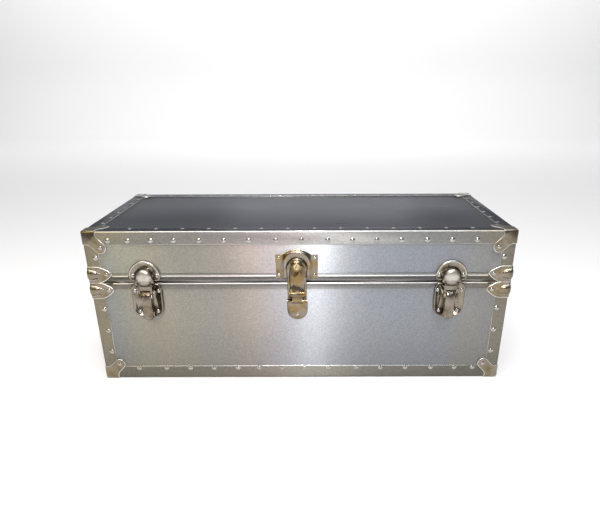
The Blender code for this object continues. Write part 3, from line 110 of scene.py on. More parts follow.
class TrunkRivets(bpy.types.PropertyGroup):
    """Sizes and distances of the rivets"""
    head_radius: bpy.props.FloatProperty(
        name="Head radius", description="Radius of a binding rivet's head",
        default=0.0049, min=0.001, max=0.006, unit="LENGTH")
    head_height: bpy.props.FloatProperty(
        name="Head height", description="How far a binding rivet's head stands proud",
        default=0.0017, min=0.0005, max=0.003, unit="LENGTH")
    small_share: bpy.props.FloatProperty(
        name="Small rivet size", description="Size of a hardware rivet against a binding rivet",
        default=0.8, min=0.4, max=1.0, subtype="FACTOR")
    flange: bpy.props.FloatProperty(
        name="Flange", description="Thickness of the thin ring round a rivet's dome",
        default=0.0004, min=0.0002, max=0.001, unit="LENGTH")
    top_pitch: bpy.props.FloatProperty(
        name="Top pitch", description="Distance between rivets along the top",
        default=0.04805, min=0.03, max=0.08, unit="LENGTH")
    side_pitch: bpy.props.FloatProperty(
        name="End pitch", description="Distance between rivets along the ends",
        default=0.0480, min=0.03, max=0.08, unit="LENGTH")


class TrunkBeads(bpy.types.PropertyGroup):
    """Radii of the rounded edges"""
    binding: bpy.props.FloatProperty(
        name="Binding edge", description="Radius of the rounded edge of a binding",
        default=0.0006, min=0.0002, max=0.002, unit="LENGTH")
    plate: bpy.props.FloatProperty(
        name="Plate edge", description="Radius of the rounded edge of a cap or plate",
        default=0.0010, min=0.0002, max=0.002, unit="LENGTH")
    lock: bpy.props.FloatProperty(
        name="Lock plate edge", description="Radius of the rounded edge of the lock's lid plate",
        default=0.0004, min=0.0002, max=0.002, unit="LENGTH")
    clamp: bpy.props.FloatProperty(
        name="Clamp edge", description="Radius of the bead round a corner clamp",
        default=0.0012, min=0.0002, max=0.002, unit="LENGTH")


class TrunkFinishes(bpy.types.PropertyGroup):
    """Colours of the main materials"""
    sheet: bpy.props.FloatVectorProperty(
        name="Sheet", description="Satin sheet on the walls",
        default=(0.380, 0.382, 0.382), min=0, max=1, subtype="COLOR")
    binding: bpy.props.FloatVectorProperty(
        name="Binding", description="Edge bindings and rims",
        default=(0.290, 0.290, 0.286), min=0, max=1, subtype="COLOR")
    nickel: bpy.props.FloatVectorProperty(
        name="Nickel", description="Polished hardware",
        default=(0.240, 0.212, 0.172), min=0, max=1, subtype="COLOR")
    wood: bpy.props.FloatVectorProperty(
        name="Plywood", description="Bare boards inside",
        default=(0.50, 0.36, 0.21), min=0, max=1, subtype="COLOR")


class TrunkStudio(bpy.types.PropertyGroup):
    """Backdrop and light"""
    floor: bpy.props.FloatVectorProperty(
        name="Floor", description="Floor and backdrop",
        default=(0.87, 0.87, 0.87), min=0, max=1, subtype="COLOR")
    level: bpy.props.FloatProperty(
        name="Light level", description="Strength of all lamps together", default=1.0, min=0.1, max=4)


# Shader building

class Socket:
    """An output socket. Python's operators on it add the Math nodes of the same meaning."""

    def __init__(self, tree, out):
        self.tree = tree
        self.out = out

    def maths(self, operation, *others):
        return add_node(self.tree, "ShaderNodeMath", dict(enumerate((self, *others))), operation=operation)

    def __add__(self, other):
        return self.maths("ADD", other)

    __radd__ = __add__

    def __mul__(self, other):
        return self.maths("MULTIPLY", other)

    def __sub__(self, other):
        return self.maths("SUBTRACT", other)

    def __rsub__(self, other):
        return add_node(self.tree, "ShaderNodeMath", {0: other, 1: self}, operation="SUBTRACT")

    def __truediv__(self, other):
        return self.maths("DIVIDE", other)

    def __pow__(self, other):
        return self.maths("POWER", other)

    def band(self, low, high):
        """0 below low, 1 above high, smooth between."""
        return add_node(self.tree, "ShaderNodeMapRange", {0: self, 1: low, 2: high},
                        interpolation_type="SMOOTHSTEP")

    def past(self, low, high):
        """The same for a distance on either side of 0."""
        return (self * self).band(low * low, high * high)


def add_node(tree, kind, inputs=(), output=0, stops=None, **settings):
    """Add a node: its settings first, then the values or links of its sockets."""
    node = tree.nodes.new(kind)
    for key, value in settings.items():
        setattr(node, key, value)
    if stops:
        ramp = node.color_ramp
        ramp.elements.remove(ramp.elements[1])
        ramp.elements[0].position, ramp.elements[0].color = stops[0]
        for place, colour in stops[1:]:
            ramp.elements.new(place).color = colour
    for key, value in dict(inputs).items():
        if isinstance(value, Socket):
            tree.links.new(value.out, node.inputs[key])
        else:
            node.inputs[key].default_value = value
    return Socket(tree, node.outputs[output])


def split(tree, vector):
    """The three parts of a vector or colour."""
    parts = add_node(tree, "ShaderNodeSeparateXYZ", {"Vector": vector}).out.node.outputs
    return [Socket(tree, part) for part in parts]


def rgba(colour):
    """A colour with full alpha."""
    return (*colour, 1.0)


def tinted(colour, shares):
    """A colour with each channel made a share of itself."""
    return tuple(part * share for part, share in zip(colour, shares))


class Finish:
    """One material, with short ways to the textures that it needs."""

    def __init__(self, name, **fixed):
        self.material = bpy.data.materials.new(name)
        self.material.use_nodes = True
        self.tree = self.material.node_tree
        self.shader = self.tree.nodes["Principled BSDF"]
        self.place = add_node(self.tree, "ShaderNodeTexCoord", output="Object")
        for key, value in fixed.items():
            self.feed(key.replace("_", " "), value)

    def feed(self, socket, value):
        """Link or set one input of the surface."""
        if isinstance(value, Socket):
            self.tree.links.new(value.out, self.shader.inputs[socket])
        else:
            self.shader.inputs[socket].default_value = value

    def noise(self, scale, detail=3.0, roughness=0.5, offset=(0, 0, 0)):
        """Noise of a scale per metre along each axis, or of one scale along all."""
        scale = scale if isinstance(scale, tuple) else (scale, scale, scale)
        place = add_node(self.tree, "ShaderNodeMapping",
                         {"Vector": self.place, "Scale": scale, "Location": offset})
        return add_node(self.tree, "ShaderNodeTexNoise",
                        {"Vector": place, "Scale": 1.0, "Detail": detail, "Roughness": roughness},
                        output="Fac")

    def axis(self, index):
        """The place along one axis of the object."""
        return split(self.tree, self.place)[index]

    def mixed(self, factor, first, second, blend="MIX"):
        """The first colour at factor 0 and the second at 1."""
        colours = [value if isinstance(value, Socket) else rgba(value) for value in (first, second)]
        return add_node(self.tree, "ShaderNodeMix", {0: factor, 6: colours[0], 7: colours[1]}, output=2,
                        data_type="RGBA", blend_type=blend)

    def shaded(self, colour, shade):
        """A colour made lighter or darker by a value."""
        tone = add_node(self.tree, "ShaderNodeCombineXYZ", {0: shade, 1: shade, 2: shade})
        return self.mixed(1.0, colour, tone, "MULTIPLY")

    def bump(self, height, strength, distance):
        """A normal tilted as if the surface rose by height times distance."""
        return add_node(self.tree, "ShaderNodeBump",
                        {"Height": height, "Strength": strength, "Distance": distance}, output="Normal")


def satin_sheet(colour):
    """Rolled sheet: a grain that spreads its shine upright, slow bands of tone, fine speckle."""
    finish = Finish("satin_sheet", Metallic=1.0, Anisotropic=1.0, Anisotropic_Rotation=WALL_GRAIN)
    bands = finish.noise((6.0, 2.0, 1.2), 2.0)
    stain = finish.noise(7.0, 4.0, 0.6, (3.1, 0.4, 1.7))
    speck = finish.noise(420.0, 3.0, 0.7)
    warm = tinted(colour, (1.04, 1.00, 0.90))
    cool = tinted(colour, (0.96, 0.99, 1.05))
    base = finish.mixed(bands.band(0.38, 0.62), warm, cool)
    # Darker toward the floor
    near_floor = 1.0 - finish.axis(2).band(*SHEET_DARKER_LOW)
    shade = (0.86 + stain * 0.18 + (speck - 0.5) * 0.9) * (1.0 - near_floor * 0.20)
    finish.feed("Base Color", finish.shaded(base, shade))
    finish.feed("Roughness", 0.41 + (stain - 0.5) * 0.10 + (speck - 0.5) * 0.16)
    wave = finish.noise((6.0, 3.0, 3.0), 2.0, 0.4, (0.0, 5.0, 0.0))
    finish.feed("Normal", finish.bump(wave + speck * 0.025, 0.25, 0.003))
    return finish.material


def top_sheet_painted_shade(colour):
    """The same sheet on the lid's top, darker as painted shade, with streaks along it."""
    # A darker copy of the walls' sheet, as painted shade: its base colour and its grey edge tint
    finish = Finish("top_sheet_painted_shade", Metallic=1.0, Specular_Tint=(0.55, 0.56, 0.60, 1.0))
    stain = finish.noise((5.0, 9.0, 5.0), 4.0, 0.6, (1.1, 2.4, 0.7))
    speck = finish.noise(420.0, 2.0)
    streak = finish.noise((12.0, 520.0, 8.0), 3.0)
    dark = tinted(colour, (0.47, 0.48, 0.50))
    shade = 0.88 + stain * 0.16 + (speck - 0.5) * 0.50 + (streak - 0.5) * 0.30
    finish.feed("Base Color", finish.shaded(dark, shade))
    finish.feed("Roughness", 0.34 + (stain - 0.5) * 0.14 + (streak - 0.5) * 0.20)
    finish.feed("Normal", finish.bump(streak + speck * 0.2, 0.12, 0.0004))
    return finish.material


def bright_binding(colour):
    """Rolled strip: painted shade where the rims meet, painted highlights along its fold and
    the beads' crowns, darker and yellower near the floor, and yellower toward the ends."""
    finish = Finish("bright_binding", Metallic=1.0, Anisotropic=0.95, Anisotropic_Rotation=WALL_GRAIN)
    bands = finish.noise((9.0, 4.0, 2.0), 2.0, 0.5, (1.3, 0.2, 0.5))
    speck = finish.noise(380.0, 2.0)
    stain = finish.noise(16.0, 4.0, 0.6)
    # Yellower toward both ends
    yellower_ends = finish.axis(0).past(*BINDING_ENDS)
    base = finish.mixed(bands.band(0.40, 0.60), tinted(colour, (1.02, 1.00, 0.97)), colour)
    base = finish.mixed(yellower_ends, base, tinted(colour, (1.10, 1.00, 0.82)))
    height = finish.axis(2)
    # Painted shade where the rims meet
    seam_shade = height.band(*SEAM_SHADE[0]) * (1.0 - height.band(*SEAM_SHADE[1]))
    # Darker and yellower toward the floor
    near_floor = 1.0 - height.band(*BINDING_DARKER_LOW)
    # Painted highlight along the fold and the beads' crowns, which are also made smoother
    lightened = height.band(*FOLD_HIGHLIGHT)
    for low in BEAD_HIGHLIGHTS:
        high = low + HIGHLIGHT_WIDE
        lightened = lightened + height.band(low, low + HIGHLIGHT_SOFT) * (1.0 - height.band(high, high + HIGHLIGHT_SOFT))
    shade = (0.86 + stain * 0.20 + (speck - 0.5) * 0.60) * (1.0 - seam_shade * 0.40 - near_floor * 0.18 + lightened * 1.7)
    base = finish.mixed(near_floor, base, tinted(colour, (0.98, 0.95, 0.82)))
    finish.feed("Base Color", finish.shaded(base, shade))
    finish.feed("Roughness", 0.52 + (stain - 0.5) * 0.14 - lightened * 0.14)
    finish.feed("Normal", finish.bump(bands + speck * 0.01, 0.2, 0.003))
    return finish.material


def top_binding_painted_shade(colour):
    """The binding where it lies on the lid's top, darker as painted shade."""
    # A darker copy of the binding, as painted shade: its base colour and its grey edge tint
    finish = Finish("top_binding_painted_shade", Metallic=1.0, Specular_Tint=(0.55, 0.56, 0.60, 1.0))
    stain = finish.noise(14.0, 4.0, 0.6)
    speck = finish.noise(380.0, 2.0)
    shade = 0.86 + stain * 0.20 + (speck - 0.5) * 0.12
    finish.feed("Base Color", finish.shaded(tinted(colour, (0.48, 0.49, 0.51)), shade))
    finish.feed("Roughness", 0.28 + (stain - 0.5) * 0.14)
    return finish.material


def nickel_plate(colour):
    """Polished plate with haze and tarnish, amber on the lock and olive on the corners. The draw bolts'
    cups are domed by their shading. They and the tops of the keepers' arched rims are lighter,
    partly by wear and partly as a painted highlight."""
    finish = Finish("nickel_plate", Metallic=1.0)
    tarnish = finish.noise(60.0, 4.0, 0.6)
    haze = finish.noise(240.0, 3.0)
    patches = finish.noise(46.0, 3.0, 0.5, (0.6, 0.3, 0.9)).band(0.42, 0.62)
    amber = tinted(colour, (1.02, 0.80, 0.44))
    olive = tinted(colour, (0.92, 0.86, 0.66))
    brown = tinted(colour, (0.52, 0.46, 0.36))
    # The lighter tone of the cups and the arches' tops: partly wear, partly a painted highlight
    bright = tinted(colour, (3.2, 3.5, 4.0))
    across, height = finish.axis(0), finish.axis(2)
    plain = finish.mixed(patches * across.past(*NICKEL_CORNERS), colour, olive)
    plain = finish.mixed(patches * (1.0 - across.past(*NICKEL_LOCK)), plain, amber)
    domes = arches = 0.0
    for centre in CUP_PLACES:
        aside = (across - centre) * (1 / CUP_REACH[0])
        above = (height - CUP_HEIGHT) * (1 / CUP_REACH[1])
        domes = 1.0 - (aside * aside + above * above).band(0.0, 1.0) + domes
        aside = (across - centre) * (1 / ARCH_REACH)
        above = (height - ARCH_HEIGHT) * (1 / ARCH_REACH)
        reach = aside * aside + above * above
        rim = reach.band(0.74, 0.86) * (1.0 - reach.band(1.02, 1.06))
        arches = rim * height.band(ARCH_HEIGHT, ARCH_TOP) + arches
    # Lighter cups and arches' tops: partly wear, partly a painted highlight
    rubbed_and_highlit = domes.band(0.0, 1.0) * 0.50 + arches * 0.55
    dull = finish.mixed(tarnish.band(0.45, 0.75), plain, brown)
    finish.feed("Base Color", finish.mixed(rubbed_and_highlit, dull, bright))
    finish.feed("Roughness", 0.13 + haze * 0.08 + tarnish.band(0.5, 0.8) * 0.08 + domes.band(0.2, 0.8) * 0.15)
    finish.feed("Normal", finish.bump(domes + haze * 0.02, 1.0, CUP_DOME))
    return finish.material


def plywood(colour):
    """Plain boards: long grain, turned on the end boards, with pores and a few darker bands."""
    finish = Finish("plywood")
    ends = finish.axis(0).past(*END_BOARDS)
    grain = finish.noise((3.0, 60.0, 60.0), 5.0, 0.6)
    grain = grain + (finish.noise((60.0, 3.0, 60.0), 5.0, 0.6) - grain) * ends
    pores = finish.noise((18.0, 900.0, 900.0), 3.0)
    band = finish.noise((0.8, 9.0, 9.0), 2.0, 0.5, (2.0, 0.0, 0.0))
    dark = tinted(colour, (0.66, 0.58, 0.48))
    base = finish.mixed(grain.band(0.35, 0.70) * 0.6 + band.band(0.5, 0.7) * 0.3, colour, dark)
    finish.feed("Base Color", finish.mixed(pores.band(0.62, 0.72) * 0.45, base, dark))
    finish.feed("Roughness", 0.60 + (grain - 0.5) * 0.2)
    finish.feed("Normal", finish.bump(grain + pores * 0.4, 0.25, 0.0006))
    return finish.material


def pin_steel():
    """Drawn wire."""
    finish = Finish("pin_steel", Metallic=1.0)
    drawn = finish.noise((30.0, 900.0, 900.0), 3.0)
    finish.feed("Base Color", finish.mixed(drawn.band(0.3, 0.7), (0.40, 0.40, 0.40), (0.52, 0.51, 0.50)))
    finish.feed("Roughness", 0.30 + drawn * 0.12)
    return finish.material


def rivet_steel():
    """Rivet heads, polished with a little haze."""
    finish = Finish("rivet_steel", Metallic=1.0)
    haze = finish.noise(300.0, 3.0)
    finish.feed("Base Color", finish.mixed(haze.band(0.35, 0.7), (0.44, 0.43, 0.41), (0.31, 0.30, 0.28)))
    finish.feed("Roughness", 0.12 + haze * 0.10)
    return finish.material


def edge_steel():
    """Rolled edges, light partly by wear and partly as a painted highlight."""
    finish = Finish("edge_steel", Metallic=1.0)
    haze = finish.noise(300.0, 3.0)
    finish.feed("Base Color", finish.mixed(haze.band(0.35, 0.7), (0.86, 0.85, 0.82), (0.70, 0.68, 0.64)))
    finish.feed("Roughness", 0.20 + haze * 0.12)
    return finish.material


def plug_brass():
    """The key plug, worn in spots."""
    finish = Finish("plug_brass", Metallic=1.0)
    lightened = finish.noise(500.0, 3.0)
    finish.feed("Base Color", finish.mixed(lightened.band(0.4, 0.65), (0.62, 0.49, 0.28), (0.72, 0.63, 0.45)))
    finish.feed("Roughness", 0.22 + lightened * 0.12)
    return finish.material


MADE = {}


def finishes():
    """The trunk's materials by slot name, made on first use."""
    sizes = bpy.context.scene.trunk_finishes
    makers = {"satin_sheet": lambda: satin_sheet(tuple(sizes.sheet)),
              "top_sheet_painted_shade": lambda: top_sheet_painted_shade(tuple(sizes.sheet)),
              "bright_binding": lambda: bright_binding(tuple(sizes.binding)),
              "top_binding_painted_shade": lambda: top_binding_painted_shade(tuple(sizes.binding)),
              "nickel_plate": lambda: nickel_plate(tuple(sizes.nickel)),
              "plywood": lambda: plywood(tuple(sizes.wood)),
              "pin_steel": pin_steel, "rivet_steel": rivet_steel, "edge_steel": edge_steel,
              "plug_brass": plug_brass}
    for slot, make in makers.items():
        if slot not in MADE:
            MADE[slot] = make()
    return MADE


def dress(obj, slot):
    """Give an object the one material of a slot."""
    obj.data.materials.clear()
    obj.data.materials.append(finishes()[slot])


# Pieces

SAME_PLACE = 1e-6
SAME_PLANE = math.radians(0.2)


def merged(node):
    """A node's mesh with its split corners joined and its flat faces whole."""
    shape = bmesh.new()
    shape.from_mesh(NODES[node].data)
    bmesh.ops.remove_doubles(shape, verts=shape.verts, dist=SAME_PLACE)
    bmesh.ops.dissolve_limit(shape, angle_limit=SAME_PLANE, verts=shape.verts, edges=shape.edges)
    return shape


def smooth_copy(node, angle):
    """A merged copy of a node with its curved faces shaded smooth. It stands for the node."""
    shape = merged(node)
    mesh = bpy.data.meshes.new(node + "_finished")
    shape.to_mesh(mesh)
    shape.free()
    mesh.shade_smooth()
    mesh.set_sharp_from_angle(angle=math.radians(angle))
    obj = bpy.data.objects.new(node + "_finished", mesh)
    bpy.context.scene.collection.objects.link(obj)
    slot = SLOT_OF[node]
    dress(obj, slot)
    # Faces that look up get the darker copy of the finish, painted shade
    if slot in TOP_PAINTED_SHADE:
        mesh.materials.append(finishes()[TOP_PAINTED_SHADE[slot]])
        for face in mesh.polygons:
            face.material_index = int(abs(face.normal.z) > FLAT_NORMAL)
    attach(obj, BODY_OF[node])
    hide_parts(node)


# From the dome's top to the middle of its base: share of the way, then (radius, dome, flange) shares

HEAD_PROFILE = ((0, (0, 1, 1, 1)), (1 / 6, (0.30, 0.88, 1, 1)), (2 / 6, (0.56, 0.52, 1, 1)),
                (3 / 6, (0.72, 0, 1, 1)), (4 / 6, (0.96, 0, 0.8, 1)), (5 / 6, (1, 0, 0, 1)), (1, (0, 0, 0, 1)))


def open_tree(name, inputs, result):
    """A geometry tree with named inputs and one result. Also gives its inputs by name."""
    tree = bpy.data.node_groups.new(name, "GeometryNodeTree")
    for key, kind in inputs.items():
        tree.interface.new_socket(key, in_out="INPUT", socket_type="NodeSocket" + kind)
    tree.interface.new_socket(result, in_out="OUTPUT", socket_type="NodeSocketGeometry")
    start = tree.nodes.new("NodeGroupInput")
    return tree, {socket.name: Socket(tree, socket) for socket in start.outputs if socket.name}


def close_tree(tree, shape, finish):
    """End a tree with its shape made real and given its finish."""
    shape = add_node(tree, "GeometryNodeRealizeInstances", {"Geometry": shape})
    shape = add_node(tree, "GeometryNodeSetMaterial", {"Geometry": shape, "Material": finish})
    end = tree.nodes.new("NodeGroupOutput")
    tree.links.new(shape.out, end.inputs[0])
    return tree


def rivet_tree():
    """A domed head with a thin flange set on every point, turned to the point's facing."""
    inputs = {"Points": "Geometry", "Head radius": "Float", "Head height": "Float", "Flange": "Float",
              "Finish": "Material"}
    tree, given = open_tree("rivet_heads", inputs, "Heads")
    ball = add_node(tree, "GeometryNodeMeshUVSphere", {"Segments": 12, "Rings": 6, "Radius": 1.0})
    x, y, z = split(tree, add_node(tree, "GeometryNodeInputPosition"))
    way = z.maths("ARCCOSINE") * (1 / math.pi)
    across, crown, rim = split(tree, add_node(tree, "ShaderNodeValToRGB", {0: way}, stops=HEAD_PROFILE))
    share = across * given["Head radius"] / ((x * x + y * y) ** 0.5)
    height = crown * (given["Head height"] - given["Flange"]) + rim * given["Flange"]
    shape = add_node(tree, "ShaderNodeCombineXYZ", {0: x * share, 1: y * share, 2: height})
    dome = add_node(tree, "GeometryNodeSetPosition", {"Geometry": ball, "Position": shape})
    dome = add_node(tree, "GeometryNodeSetShadeSmooth", {"Geometry": dome, "Shade Smooth": True})
    facing = add_node(tree, "GeometryNodeInputNamedAttribute", {"Name": "facing"}, data_type="FLOAT_VECTOR")
    size = add_node(tree, "GeometryNodeInputNamedAttribute", {"Name": "size"}, data_type="FLOAT")
    turn = add_node(tree, "FunctionNodeAlignRotationToVector", {"Vector": facing}, axis="Z")
    heads = add_node(tree, "GeometryNodeInstanceOnPoints",
                     {"Points": given["Points"], "Instance": dome, "Rotation": turn, "Scale": size})
    return close_tree(tree, heads, given["Finish"])


def bead_tree():
    """A round bar along every line of the input mesh."""
    inputs = {"Lines": "Geometry", "Bead radius": "Float", "Finish": "Material"}
    tree, given = open_tree("bead_bars", inputs, "Beads")
    lines = add_node(tree, "GeometryNodeMeshToCurve", {"Mesh": given["Lines"]})
    ring = add_node(tree, "GeometryNodeCurvePrimitiveCircle",
                    {"Resolution": 8, "Radius": given["Bead radius"]})
    bars = add_node(tree, "GeometryNodeCurveToMesh",
                    {"Curve": lines, "Profile Curve": ring, "Fill Caps": True})
    bars = add_node(tree, "GeometryNodeSetShadeSmooth", {"Geometry": bars, "Shade Smooth": True})
    return close_tree(tree, bars, given["Finish"])


def run_tree(name, source, tree, body, slot, finish, **values):
    """Run a node tree over a mesh and keep the result as one plain piece on a body."""
    holder = bpy.data.objects.new(name, source)
    bpy.context.scene.collection.objects.link(holder)
    step = holder.modifiers.new("tree", "NODES")
    step.node_group = tree
    wanted = {"Finish": finishes()[finish], **values}
    for item in tree.interface.items_tree:
        if item.in_out == "INPUT" and item.name in wanted:
            step[item.identifier] = wanted[item.name]
    graph = bpy.context.evaluated_depsgraph_get()
    graph.update()
    mesh = bpy.data.meshes.new_from_object(holder.evaluated_get(graph))
    holder.modifiers.remove(step)
    holder.data = mesh
    mesh.name = name
    if not mesh.polygons:
        raise RuntimeError(f"{name} has no faces")
    mesh.materials.clear()
    mesh.materials.append(finishes()[finish])
    mesh.polygons.foreach_set("material_index", [0] * len(mesh.polygons))
    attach(holder, body)


def spots_mesh(spots):
    """Points with the way they face and their size, from rows of (place, facing, size)."""
    mesh = bpy.data.meshes.new("spots")
    mesh.from_pydata([place for place, _, _ in spots], [], [])
    mesh.attributes.new("facing", "FLOAT_VECTOR", "POINT")
    mesh.attributes.new("size", "FLOAT", "POINT")
    for index, (_, way, share) in enumerate(spots):
        mesh.attributes["facing"].data[index].vector = way
        mesh.attributes["size"].data[index].value = share
    return mesh


def evenly(low, high, pitch):
    """Places from low to high at about a pitch."""
    count = max(1, round((high - low) / pitch))
    return [low + (high - low) * step / count for step in range(count + 1)]


def stepped(start, high, pitch):
    """Places from start up to high at exactly a pitch."""
    return [start + pitch * step for step in range(int((high - start) / pitch + 1e-6) + 1)]


def axis_of(way):
    """The axis that a way points along."""
    return next(index for index in range(3) if way[index])


class Shell:
    """The box of a node, for setting rivets on its outer faces."""

    def __init__(self, node):
        self.low, self.high = (Vector(corner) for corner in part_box(node))
        self.middle = (self.low + self.high) / 2
        self.spots = []

    def inset(self, way, distance):
        """The coordinate at a distance in from the side that way points to."""
        axis = axis_of(way)
        return self.high[axis] - distance if way[axis] > 0 else self.low[axis] + distance

    def set(self, facing, first, second, size=1.0, sink=0.0):
        """One rivet. first and second are the two coordinates that aren't along facing."""
        place = [first, second]
        place.insert(axis_of(facing), self.inset(facing, sink))
        self.spots.append((tuple(place), facing, size))

    def set_posts(self, height):
        """A rivet in both legs of every upright corner angle."""
        for x in (self.low.x + POST_INSET, self.high.x - POST_INSET):
            self.set(FRONT, x, height)
            self.set(BACK, x, height)
        for _, way in SIDES:
            for y in (self.low.y + POST_INSET, self.high.y - POST_INSET):
                self.set(way, y, height)


# Places of the bindings' rivets: along X as measured in the photo, along Z and in from the edges

LID_ROW = (-0.3473, -0.3115, -0.2696, -0.2283, -0.1823, -0.1375, -0.0922, -0.0434, 0.0030, 0.0504, 0.0953,
           0.1391, 0.1840, 0.2305, 0.2758, 0.3212)
BOTTOM_ROW = (-0.3242, -0.2695, -0.2219, -0.1747, -0.1265, -0.0843, -0.0378, 0.0066, 0.0542, 0.1099, 0.1579,
              0.2074, 0.2586, 0.3059, 0.3422)
TOP_ROW = (-0.3099, 0.316)
TOP_INSET = 0.0190
LID_ROW_DROP = 0.0173
BOTTOM_ROW_RISE = 0.0205
SIDE_ROW_INSET = 0.064
POST_INSET = 0.0180
LID_POST_HEIGHT = 0.2475
CHEST_POST_HEIGHTS = (0.1480, 0.1035, 0.0585)

# The top's rivets against the others: share of the size, and depth below the top

TOP_SIZE = 0.8
TOP_SINK = 0.0002


def binding_spots(sizes):
    """Rivets in the legs of the bindings, by body."""
    lid = Shell("lid_edge_binding")
    row = lid.high.z - LID_ROW_DROP
    for x in LID_ROW:
        lid.set(FRONT, x, row)
        lid.set(BACK, x, row)
    for x in stepped(*TOP_ROW, sizes.top_pitch):
        for way in (FRONT, BACK):
            lid.set(UP, x, lid.inset(way, TOP_INSET), TOP_SIZE, TOP_SINK)
    side_row = evenly(lid.low.y + SIDE_ROW_INSET, lid.high.y - SIDE_ROW_INSET, sizes.side_pitch)
    for y in side_row:
        for _, way in SIDES:
            lid.set(UP, lid.inset(way, TOP_INSET), y, TOP_SIZE, TOP_SINK)
            lid.set(way, y, row)
    lid.set_posts(LID_POST_HEIGHT)

    chest = Shell("chest_bottom_binding")
    row = chest.low.z + BOTTOM_ROW_RISE
    for x in BOTTOM_ROW:
        chest.set(FRONT, x, row)
        chest.set(BACK, x, row)
    for y in side_row:
        for _, way in SIDES:
            chest.set(way, y, row)
    for height in CHEST_POST_HEIGHTS:
        chest.set_posts(height)
    return {"lid": lid.spots, "chest": chest.spots}


# Rivets of the corners: in from the cap's faces, below its top, and above the middle of the clamp

CAP_LOBE = 0.0315
CAP_TOP_SINK = 0.0016
CLAMP_TIP = 0.0345
CLAMP_RISE = 0.0010
CLAMP_SIZE = 0.9


def cap_spots(part, size):
    """Rivets in the lobes of the caps and near the tips of the clamps."""
    spots = []
    for x_name, x_way in SIDES:
        for y_name, y_way in ENDS:
            cap = Shell(f"{part}_corner_cap_{y_name}_{x_name}")
            clamp = Shell(f"{part}_corner_clamp_{y_name}_{x_name}")
            x, y = cap.inset(x_way, CAP_LOBE), cap.inset(y_way, CAP_LOBE)
            z = cap.inset(UP if part == "lid" else DOWN, CAP_LOBE)
            cap.set(y_way, x, z, size)
            cap.set(x_way, y, z, size)
            if part == "lid":
                cap.set(UP, x, y, size, CAP_TOP_SINK)
            height = clamp.middle.z + CLAMP_RISE
            cap.set(y_way, cap.inset(x_way, CLAMP_TIP), height, size * CLAMP_SIZE)
            cap.set(x_way, cap.inset(y_way, CLAMP_TIP), height, size * CLAMP_SIZE)
            spots += cap.spots
    return spots


# Pairs of rivets on the front: body, distance from the plate's middle, height, and how far forward

BOLT_PAIRS = (("lid", 0.0225, 0.2145, 0.0005), ("chest", 0.0225, 0.1850, 0.0), ("chest", 0.0171, 0.1440, 0.0))
LOCK_PAIRS = (("lid", 0.0330, 0.2478, 0.0), ("lid", 0.0330, 0.2150, 0.0))
LOCK_PAIR_SIZE = 0.8

# The rivet under the lock: along Y and Z, and its share of the size

LOCK_FOOT = (-0.18265, 0.1375)
LOCK_FOOT_SIZE = 0.9

# Hinge leaves: heights of the middle rivet and the outer two, and how far aside these stand

HINGE_ROWS = {"lid": (0.2125, 0.2265), "chest": (0.1880, 0.1740)}
HINGE_ASIDE = 0.0170

# Handle plates: distance of their faces from the middle along X, and the insets along Y and Z

HANDLE_FACE = 0.3925
HANDLE_INSETS = (0.0085, 0.0075)


def plate_spots(size):
    """Rivets of the bolts, lock, hinges and handle plates, by body."""
    spots = {"lid": [], "chest": []}
    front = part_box("lid_corner_cap_front_left")[0].y
    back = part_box("lid_corner_cap_back_left")[1].y

    def set_pairs(pairs, middle, share):
        """Rivets on both sides of the middle of a plate."""
        for body, aside, height, forward in pairs:
            for side in (-aside, aside):
                spots[body].append(((middle + side, front - forward, height), FRONT, size * share))

    for name, _ in SIDES:
        set_pairs(BOLT_PAIRS, Shell(f"draw_bolt_keeper_{name}").middle.x, 1.0)
        for part, (middle_height, outer_height) in HINGE_ROWS.items():
            middle = Shell(f"hinge_{part}_leaf_{name}").middle.x
            for side in (-HINGE_ASIDE, 0.0, HINGE_ASIDE):
                place = (middle + side, back, outer_height if side else middle_height)
                spots[part].append((place, BACK, size))
    middle = Shell("lock_lid_plate").middle.x
    set_pairs(LOCK_PAIRS, middle, LOCK_PAIR_SIZE)
    spots["chest"].append(((middle, *LOCK_FOOT), FRONT, size * LOCK_FOOT_SIZE))
    for name, way in SIDES:
        plate = Shell(f"side_handle_plate_{name}")
        along, up = HANDLE_INSETS
        for y in (plate.low.y + along, plate.high.y - along):
            for z in (plate.low.z + up, plate.high.z - up):
                spots["chest"].append(((way[0] * HANDLE_FACE, y, z), way, size))
    return spots


# Where outer sides lie: at least a reach away from the middle, and facing along an axis

TRUNK_MIDDLE = Vector((0, 0.00285, 0.149))
TRUNK_REACH = Vector((0.384, 0.175, 0.140))
OUTWARD = 0.85

# An edge is rounded from this angle between its faces, in radians, and its bar set back by this share

EDGE_ANGLE = 1.0
SET_BACK = 1.04


def faces_out(face):
    """Whether a face lies on one of the trunk's outer sides and looks away from it."""
    axis = max(range(3), key=lambda index: abs(face.normal[index]))
    away = (face.calc_center_median() - TRUNK_MIDDLE)[axis] * math.copysign(1, face.normal[axis])
    return abs(face.normal[axis]) > OUTWARD and away > TRUNK_REACH[axis]


def outline_mesh(nodes, radius):
    """Lines along the free outer edges of pressed pieces, set back so that a bar of a radius lies in."""
    points, edges = [], []
    for node in nodes:
        shape = merged(node)
        places = {}
        for edge in shape.edges:
            if len(edge.link_faces) != 2 or not edge.is_convex or edge.calc_face_angle() < EDGE_ANGLE:
                continue
            outer = [face for face in edge.link_faces if faces_out(face)]
            if len(outer) != 1:
                continue
            for corner in edge.verts:
                if corner not in places:
                    places[corner] = len(points)
                    points.append(corner.co - outer[0].normal * radius * SET_BACK)
            edges.append([places[corner] for corner in edge.verts])
        shape.free()
    mesh = bpy.data.meshes.new("outlines")
    mesh.from_pydata(points, edges, [])
    return mesh


# Operators, one for each group of like pieces

SKINS = ("lid_cover_sheet", "chest_cover_sheet", "lid_edge_binding", "chest_bottom_binding", "lid_rim",
         "chest_rim")

